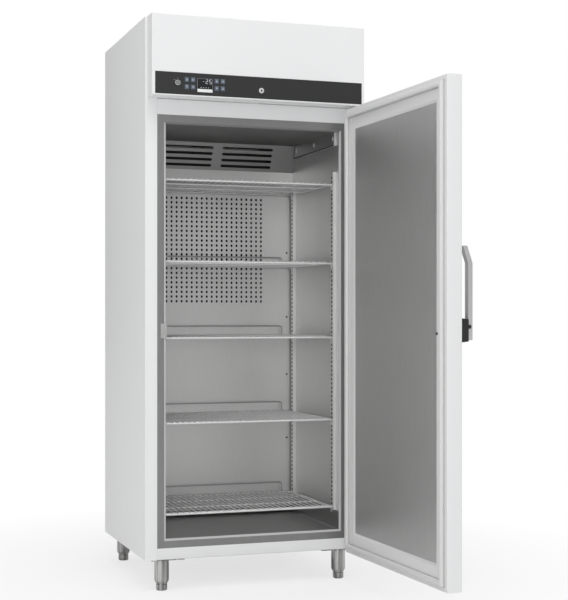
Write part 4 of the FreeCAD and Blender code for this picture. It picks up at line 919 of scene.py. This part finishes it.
def key_sign(kind, x, z, y):
    """Four generic signs: a triangle over a bar, two upright bars, the first upside down, two lying bars."""
    if kind % 2:
        return joined(*[
            bar_mark(x + s * 0.0026, z, 0.0016, 0.0076, y) if kind == 1 else
            bar_mark(x, z + s * 0.0022, 0.0076, 0.0016, y) for s in (-1, 1)])
    up, s = 1 - kind, 0.0032
    z_tip = z + up * 0.0005
    corners = [(x - s, z_tip - up * s * 0.6), (x + s, z_tip - up * s * 0.6), (x, z_tip + up * s * 0.9)]
    return joined(extruded(corners, "y", y - mark_t, y), bar_mark(x, z - up * 0.004, 0.0064, 0.0010, y))


for number, (name, (low, high)) in enumerate(keys.items()):
    cap = upright(slab((low[0], high[0]), (low[2], high[2]), (-high[1], -low[1]), 0.0012, 3), 0, -1)
    piece(name + "_cap", cap, key_plastic, name + "_cap", "key_blue", name)
    piece(name + "_mark", key_sign(number % 4, *middle(name), low[1]), mark_print, name + "_cap", "key_blue")
print("keys:", len(keys))

# %% [markdown]
# ## Display, lock and switch
# The display is a dark glass with three lit figures, each built from seven bars as on the real one. Its small
# signs are plain bars, and a white label lies below them. The lock and the main switch are turned barrels.

# %% Display
segments = {
    "top": (0.5, 1.0, 0), "upper_right": (1.0, 0.75, 1), "lower_right": (1.0, 0.25, 1), "bottom": (0.5, 0.0, 0),
    "lower_left": (0.0, 0.25, 1), "upper_left": (0.0, 0.75, 1), "middle": (0.5, 0.5, 0)}
lit = {
    "-": ["middle"], "2": ["top", "upper_right", "middle", "lower_left", "bottom"],
    "5": ["top", "upper_left", "middle", "lower_right", "bottom"]}


def digit(symbol, x, z, w, h, stroke, y):
    """One seven-bar digit: each lit bar is a six-cornered strip between two corners of the figure."""
    bars = []
    for name in lit[symbol]:
        u, v, standing = segments[name]
        length = (h / 2 if standing else w) - stroke * 0.3
        a, b = length / 2, stroke / 2
        shape = np.array([(-a, 0), (-a + b, -b), (a - b, -b), (a, 0), (a - b, b), (-a + b, b)])
        shape = shape[:, ::-1] if standing else shape
        bars.append(extruded(shape + [x + u * w, z + v * h], "y", y - mark_t, y))
    return joined(*bars)


glass_y = display_low[1] + 0.0002
glass = slab(
    (display_low[0], display_high[0]), (display_low[2], display_high[2]), (-display_high[1], -glass_y), 0.0004)
piece("display_glass", upright(glass, 0, -1), display_glass, "cabinet", "window", "display_window")
digit_h, digit_w, stroke, digit_z = 0.0138, 0.0068, 0.0012, display_high[2] - 0.0172
digits = [
    digit(symbol, display_low[0] + x, digit_z, w, digit_h, stroke, glass_y)
    for symbol, x, w in (("-", 0.0190, 0.0050), ("2", 0.0305, digit_w), ("5", 0.0432, digit_w))]
piece("display_digits", joined(*digits), digit_light, "cabinet", "window")
middle_x, middle_z = middle("display_window")
glass_w, _, glass_h = display_high - display_low - 0.0012
signs = [
    bar_mark(display_low[0] + x, display_low[2] + 0.0165, w, 0.0028, glass_y)
    for x, w in ((0.0135, 0.0036), (0.0225, 0.0024), (0.0310, 0.0030), (0.0400, 0.0024))]
signs += [bar_mark(middle_x + side * glass_w / 2, middle_z, 0.0005, glass_h, glass_y) for side in (-1, 1)]
signs.append(bar_mark(middle_x, middle_z + glass_h / 2, glass_w, 0.0005, glass_y))
piece("display_signs", joined(*signs), mark_print, "cabinet", "window")
label = bar_mark(middle_x, display_low[2] + 0.0062, glass_w, 0.0105, glass_y)
piece("display_label", label, white_coat, "cabinet", "frame_white")
print("digits:", len(digits), "signs:", len(signs))


# %% Lock and main switch
def barrel(name, inner_r):
    """A round barrel: a bright flange ring and a dark recessed floor. Gives both and the middle of the face."""
    low, high = span(name)
    x, z = middle(name)
    ring_r, tube_r, flange = (high[0] - low[0]) / 2 - 0.0001, 0.0070, low[1] + 0.0014
    ring_profile = rounded([
        (ring_r, flange), (ring_r, low[1]), (inner_r, low[1]), (inner_r, high[1]), (tube_r, high[1]),
        (tube_r, flange)], [0.0002, 0.0007, 0.0004, 0.0002, 0.0002, 0.0001])
    recess, rear = low[1] + 0.0012, high[1] - 0.001
    floor_profile = [(0.0001, recess), (inner_r, recess), (inner_r, rear), (0.0001, rear)]
    ring = turned(ring_profile, (x, 0, z), "y", 40, ring=True)
    return ring, turned(floor_profile, (x, 0, z), "y"), (x, low[1], z)


ring, recess, _ = barrel("lock_barrel", 0.0034)
piece("lock_ring", ring, bright_wire, "lock", "bright", "lock_barrel")
piece("lock_plug", recess, black_plastic, "lock", "black")
ring, recess, (x, y, z) = barrel("switch_barrel", 0.0062)
piece("switch_ring", ring, zinc, "main_switch", "bright", "switch_barrel")
piece("switch_recess", recess, black_plastic, "main_switch", "black")
plug_profile = [(0.0001, 0.0004), (0.0036, 0.0004), (0.0040, 0.0008), (0.0040, 0.0012), (0.0001, 0.0012)]
piece("switch_plug", turned(plug_profile, (x, y, z), "y", 24), zinc, "main_switch", "bright")
keyhole = slab((x - 0.0005, x + 0.0005), (y + 0.0003, y + 0.0006), (z - 0.0026, z + 0.0026), 0.0001)
piece("switch_keyhole", keyhole, black_plastic, "main_switch", "black")
on_mark = bar_mark(x, z + 0.0145, 0.0009, 0.0034, strip_low[1])
off_profile = [(0.0008, -mark_t), (0.0016, -mark_t), (0.0016, 0.0), (0.0008, 0.0)]
off_mark = turned(off_profile, (x - 0.0115, strip_low[1], z + 0.0090), "y", 16, ring=True)
piece("switch_signs", joined(on_mark, off_mark), mark_print, "cabinet", "black_panel")
print("switch at, metres:", round(x, 3), round(z, 3))

# %% [markdown]
# ## The door
# Every piece of the door is worked out with the door shut, flat in front of the opening, where its sizes are
# easy to read. One turn about the hinge pins then swings it open to where it stands. Skin, frame, seal and
# edge strip all run round the door, so each is one profile carried round with mitred corners.


# %% Swinging the door
def turned_about_hinge(points, angle):
    """Points turned about the hinge: x' = c x - s y and y' = s x + c y, measured from the hinge's axis."""
    c, s = math.cos(angle), math.sin(angle)
    return np.c_[(points[:, :2] - pivot) @ np.array([[c, s], [-s, c]]) + pivot, points[:, 2]]


def swung(shape):
    """A shape drawn on the shut door, turned by the angle that the door stands open."""
    return turned_about_hinge(shape[0], door_open), shape[1]


def shut(node):
    """A door node's box with the door shut: its points turned back about the hinge."""
    data = frame["nodes"][node].data
    co = np.empty(len(data.vertices) * 3, np.float32)
    data.vertices.foreach_get("co", co)
    closed = turned_about_hinge(co.reshape(-1, 3).astype(float), -door_open)
    return closed.min(0), closed.max(0)


door_low, door_high = shut("door_shell")
outer_y, inner_y = door_low[1], door_high[1]
door_size = (door_high[0], door_low[2], door_high[2])
print("door shut, metres:", np.round(door_high - door_low, 4).tolist())

# %% Door skin, frame and edge strip
door_edge, lip, rim = 0.0035, 0.015, 0.02
depth = inner_y - outer_y
skin_profile = rounded(
    [(rim, 0), (0, 0), (0, depth), (lip, depth), (lip, depth - sheet), (sheet, depth - sheet), (sheet, sheet),
     (rim, sheet)], [0, door_edge, 0.0015, 0.0003, 0.0003, 0.0005, door_edge - sheet, 0], 5)
skin = sheet_pan(skin_profile, *door_size, outer_y)
piece("door_skin", swung(skin), white_coat, "door", "white_enamel", "door_shell")
frame_low, frame_high = shut("door_frame")
frame_depth = frame_high[1] - frame_low[1]
band_w, bevel_w, recess, first = 0.077, 0.009, 0.004, 0.0152
groove_a, groove_b = 0.0165, 0.0345
frame_profile = rounded([
    (first, 0.001), (groove_a, 0.001), (groove_a, 0.008), (groove_b, 0.008), (groove_b, 0.0),
    (band_w - bevel_w, 0.0), (band_w, recess), (band_w, frame_depth), (first, frame_depth)],
    [0, 0.0002, 0.0002, 0.0002, 0.0008, 0.004, 0.001, 0, 0])
ring = mitred(frame_profile, *door_size, inner_y, -1.0)
piece("door_band", swung(ring), frame_plastic, "door", "frame_white", "door_frame")
edge_profile = rounded(rectangle(0.0012, 0.0150, -0.0002, 0.0004), 0.00015, 1)
edge_strip = mitred(edge_profile, *door_size, inner_y, -1.0)
piece("door_edge_strip", swung(edge_strip), frame_plastic, "door", "frame_white")
print("door thickness, metres:", round(depth, 4))

# %% Gasket and inner panel
a, b, tip = 0.017, 0.034, 0.0142
gasket_profile = rounded([
    (a, 0.0078), (b, 0.0078), (b, 0.0035), (b - 0.0035, 0.0005), (b, -0.0045), (b, -tip), (a + 0.002, -tip),
    (a, -0.0045), (a + 0.003, 0.0005), (a, 0.0035)],
    [0.0005, 0.0005, 0.001, 0.0015, 0.0025, 0.0045, 0.0045, 0.0025, 0.0015, 0.001])
gasket = mitred(gasket_profile, *door_size, inner_y, -1.0)
piece("door_seal", swung(gasket), gasket_rubber, "door", "gasket", "door_gasket")
panel_low, panel_high = shut("door_inner_panel")
panel = slab(*zip(panel_low, panel_high), 0.0003)
piece("door_panel", swung(panel), door_steel, "door", "steel", "door_inner_panel")
print("inner panel, metres:", np.round(panel_high - panel_low, 4).tolist())

# %% [markdown]
# ## The handle
# A black base on the door holds a flat steel bar between two ears. Pulling the bar turns it about its pin, and
# its lower end pushes a rod through the door against the cabinet, which breaks the seal of a frozen gasket.
# Base and bar are side outlines carried across; the bar's outline shrinks at both sides, which rounds its
# edges. A darker strip on the bar's inner face is painted shade.

# %% Handle base
base_low, base_high = shut("handle_base")
lever_low, lever_high = shut("handle_lever")
handle_x = (lever_low[0] + lever_high[0]) / 2
bar_w, bar_t, bar_offset, taper = 0.022, 0.0154, 0.050, 0.005
base_y = outer_y - bar_offset
ear_y, pocket_y, pin_y, pin_z = base_y - 0.0093, base_y + 0.022, base_y - 0.005, 0.917
half = (base_high[0] - base_low[0]) / 2
gap_half = bar_w / 2 + 0.0003
upper_part = [(outer_y, base_low[2]), (outer_y, base_high[2]), (base_y, base_high[2] - taper)]
core_profile = rounded([
    *upper_part, (base_y, pin_z + 0.001), (pocket_y, pin_z + 0.001), (pocket_y, base_low[2] + 0.003)],
    [0.0005, 0.003, 0.003, 0.0005, 0.002, 0.001])
cheek_profile = rounded([
    *upper_part, (base_y, pin_z + 0.006), (ear_y, pin_z + 0.006), (ear_y, pin_z - 0.006), (base_y, pin_z - 0.006),
    (base_y, base_low[2] + taper)], [0.0005, 0.003, 0.003, 0.001, 0.0045, 0.0045, 0.001, 0.003], 5)
core = extruded(core_profile, "x", handle_x - gap_half, handle_x + gap_half)
cheeks = [extruded(cheek_profile, "x", handle_x + s * gap_half, handle_x + s * half) for s in (-1, 1)]
piece("handle_base", swung(joined(core, *cheeks)), black_plastic, "door", "black", "handle_base")
pin_end = half + 0.0002
pin = turned([(0.0029, handle_x - pin_end), (0.0029, handle_x + pin_end)], (0, pin_y, pin_z), "x", 20)
piece("handle_pin", swung(pin), black_plastic, "door", "black")
print("handle base, metres:", np.round(base_high - base_low, 4).tolist())

# %% Bar, the painted shade on its inner face, and the rod
y_in = base_y - 0.0003
y_out = y_in - bar_t
bend_z, tip_z, bend_in, inset = 1.1155, 1.169, 0.0185, 0.0012


def bar_outline(i, end_r, bend_radii):
    """Side outline of the bar, drawn in by i; its upper end leans towards the door."""
    low_z, high_z, near, far = lever_low[2] + i, tip_z - i, y_in - i, y_out + i
    return rounded([
        (near, low_z), (near, bend_z), (near + bend_in, high_z), (far + bend_in, high_z), (far, bend_z),
        (far, low_z)], [end_r[0], bend_radii[0], end_r[1], end_r[1], bend_radii[1], end_r[2]], 6)


whole = bar_outline(0, (0.0012, 0.0015, 0.0015), (0.012, 0.016))
slim = bar_outline(inset, (0.0008, 0.001, 0.001), (0.012, 0.016))
x0, x1 = handle_x - bar_w / 2, handle_x + bar_w / 2
near_end = [(1.0, 0.0), (0.3, 0.3), (0.0, 1.0)]
loops = [placed(whole + (slim - whole) * shrink, "x", x0 + inset * way) for shrink, way in near_end]
loops += [placed(whole + (slim - whole) * shrink, "x", x1 - inset * way) for shrink, way in near_end[::-1]]
piece("handle_bar", swung(lofted(loops)), bar_steel, "lever", "steel", "handle_lever")
# A thin darker strip on the bar's inner face: painted shade between bar and door.
shade_path = [(y_in, base_high[2] - 0.003), (y_in, bend_z), (y_in + bend_in * 0.96, tip_z - 0.0022)]
inner_shade = extruded(folded(shade_path, -0.0003, 0.012, 6), "x", x0 + 0.0006, x1 - 0.0006)
piece("handle_liner", swung(inner_shade), liner_plastic, "lever", "steel")
rod_low, rod_high = shut("handle_plunger")
rod_profile = [
    (0.0005, rod_low[1]), (0.004, rod_low[1]), (0.004, rod_high[1] - 0.0015), (0.0025, rod_high[1]),
    (0.0005, rod_high[1])]
rod = turned(rod_profile, (handle_x, 0, (rod_low[2] + rod_high[2]) / 2), "y", 24)
piece("handle_rod", swung(rod), black_plastic, "plunger", "black", "handle_plunger")
print("handle height, metres:", round(tip_z - lever_low[2], 3))

# %% [markdown]
# ## What keeps its construction shape
# Foam is hidden, and the keeper plate, the lock's inner parts and the cooling unit are already as fine as the
# eye can see them through the grille. They keep their own meshes and only get a finish.

# %% Finishes for construction nodes
paint(foam, "cabinet_insulation", "door_insulation")
paint(handle_steel, "keeper_plate")
paint(zinc, "lock_case", "lock_bolt", "condenser_shroud")
# The fan plate's near-black is painted shade seen through the slots; the evaporator coil is painted near-black
# too.
paint(coil_coating, "evaporator_coil", "fan_plate")
paint(fin_aluminium, "condenser_coil")
paint(black_plastic, "evaporator_fan_left", "evaporator_fan_right", "condenser_fan", "mains_inlet")
paint(pot_paint, "compressor")
paint(copper, "refrigerant_pipes")
print("construction nodes kept:", sum(not o.hide_render for o in frame["nodes"].values()))

# %% [markdown]
# ## Studio
# The object stands on a pale floor in soft light. The lamps are large, so shadows stay soft, and the sky is
# brighter above than below, so that lying faces are lit better than standing ones. The floor is white where
# the camera sees it, but it keeps the soft shadow under the feet.


# %% Floor
def whiten(material, near, far, share):
    """Seen by the camera, the floor turns to pure white between two distances from the object; nearer, only
    this share of it is white, and it keeps a soft shadow. Only camera rays see that white, so it adds no
    light."""
    tree = material.node_tree
    place = add(tree, "ShaderNodeTexCoord")
    distance = add(tree, "ShaderNodeVectorMath")
    distance.operation = "LENGTH"
    spread = add(tree, "ShaderNodeMapRange", From_Min=near, From_Max=far, To_Min=share)
    path = add(tree, "ShaderNodeLightPath")
    both = add(tree, "ShaderNodeMath")
    both.operation = "MULTIPLY"
    white = add(tree, "ShaderNodeEmission", Color=(1, 1, 1, 1))
    mix = add(tree, "ShaderNodeMixShader")
    link(tree, (place, "Object", distance, 0), (distance, "Value", spread, "Value"), (spread, "Result", both, 0),
         (path, "Is Camera Ray", both, 1), (both, "Value", mix, "Fac"), (shader(material), "BSDF", mix, 1),
         (white, "Emission", mix, 2), (mix, "Shader", tree.nodes["Material Output"], "Surface"))


floor_mesh = bpy.data.meshes.new("floor")
reach = 30.0
floor_mesh.from_pydata(placed(rectangle(-reach, reach, -reach, reach), "z", 0).tolist(), [], [(0, 1, 2, 3)])
floor = bpy.data.objects.new("floor", floor_mesh)
bpy.context.scene.collection.objects.link(floor)
floor_paint = finish("floor_paint", (0.82, 0.82, 0.82), 0.8, Specular_IOR_Level=0.0)
floor_mesh.materials.append(floor_paint)
whiten(floor_paint, 0.6, 1.7, 0.68)
print("floor reaches, metres:", reach)

# %% Sky
world = bpy.data.worlds.new("studio")
bpy.context.scene.world = world
world.use_nodes = True
sky = world.node_tree
sky.nodes.clear()
path = add(sky, "ShaderNodeLightPath")
seen = add(sky, "ShaderNodeBackground", Color=(1, 1, 1, 1), Strength=1.0)
fill = add(sky, "ShaderNodeBackground", Color=(1, 1, 1, 1))
way = add(sky, "ShaderNodeTexCoord")
split = add(sky, "ShaderNodeSeparateXYZ")
height = add(sky, "ShaderNodeMapRange", From_Min=0.0, From_Max=0.8, To_Min=0.32, To_Max=0.83)
mix = add(sky, "ShaderNodeMixShader")
out = add(sky, "ShaderNodeOutputWorld")
link(sky, (way, "Generated", split, "Vector"), (split, "Z", height, "Value"), (height, "Result", fill, "Strength"),
     (path, "Is Camera Ray", mix, "Fac"), (fill, "Background", mix, 1), (seen, "Background", mix, 2),
     (mix, "Shader", out, "Surface"))
print("sky nodes:", len(sky.nodes))


# %% Lamps
def softbox(name, place, target, size, power):
    """A square area lamp that looks at a point."""
    lamp = bpy.data.lights.new(name, "AREA")
    lamp.shape = "SQUARE"
    lamp.size = size
    lamp.energy = power
    holder = bpy.data.objects.new(name, lamp)
    bpy.context.scene.collection.objects.link(holder)
    holder.location = place
    holder.rotation_mode = "QUATERNION"
    holder.rotation_quaternion = (Vector(target) - Vector(place)).to_track_quat("-Z", "Y")


softbox("top_light", (-0.4, -2.6, 5.2), (0, -0.3, 0.9), 3.0, 68)
softbox("front_light", (-1.6, -5.0, 1.6), (0, -0.3, 0.9), 2.0, 27.5)
softbox("side_light", (-3.8, -3.4, 1.8), (0.2, -0.4, 1.0), 2.2, 19)
print("lamps:", len(bpy.data.lights))

# %% [markdown]
# ## Camera
# The camera stands far off to the left at about waist height, looks level, and is turned so that the left
# side and the open door are both seen. Its lens shift keeps the uprights upright.

# %% Camera
photo_long_side = 600
focal_pixels = 1342.3
yaw = math.radians(19.28)
camera_data = bpy.data.cameras.new("camera")
camera_data.sensor_width = 36
camera_data.lens = 36 * focal_pixels / photo_long_side
camera_data.shift_y = 16.33 / photo_long_side
camera_data.clip_end = 100
camera = bpy.data.objects.new("camera", camera_data)
camera.location = (-1.4665, -4.8431, 0.9494)
camera.rotation_euler = (math.pi / 2, 0, -yaw)
bpy.context.scene.collection.objects.link(camera)
bpy.context.scene.camera = camera
bpy.context.scene.view_settings.view_transform = "Standard"
print("lens, mm:", round(camera_data.lens, 2))
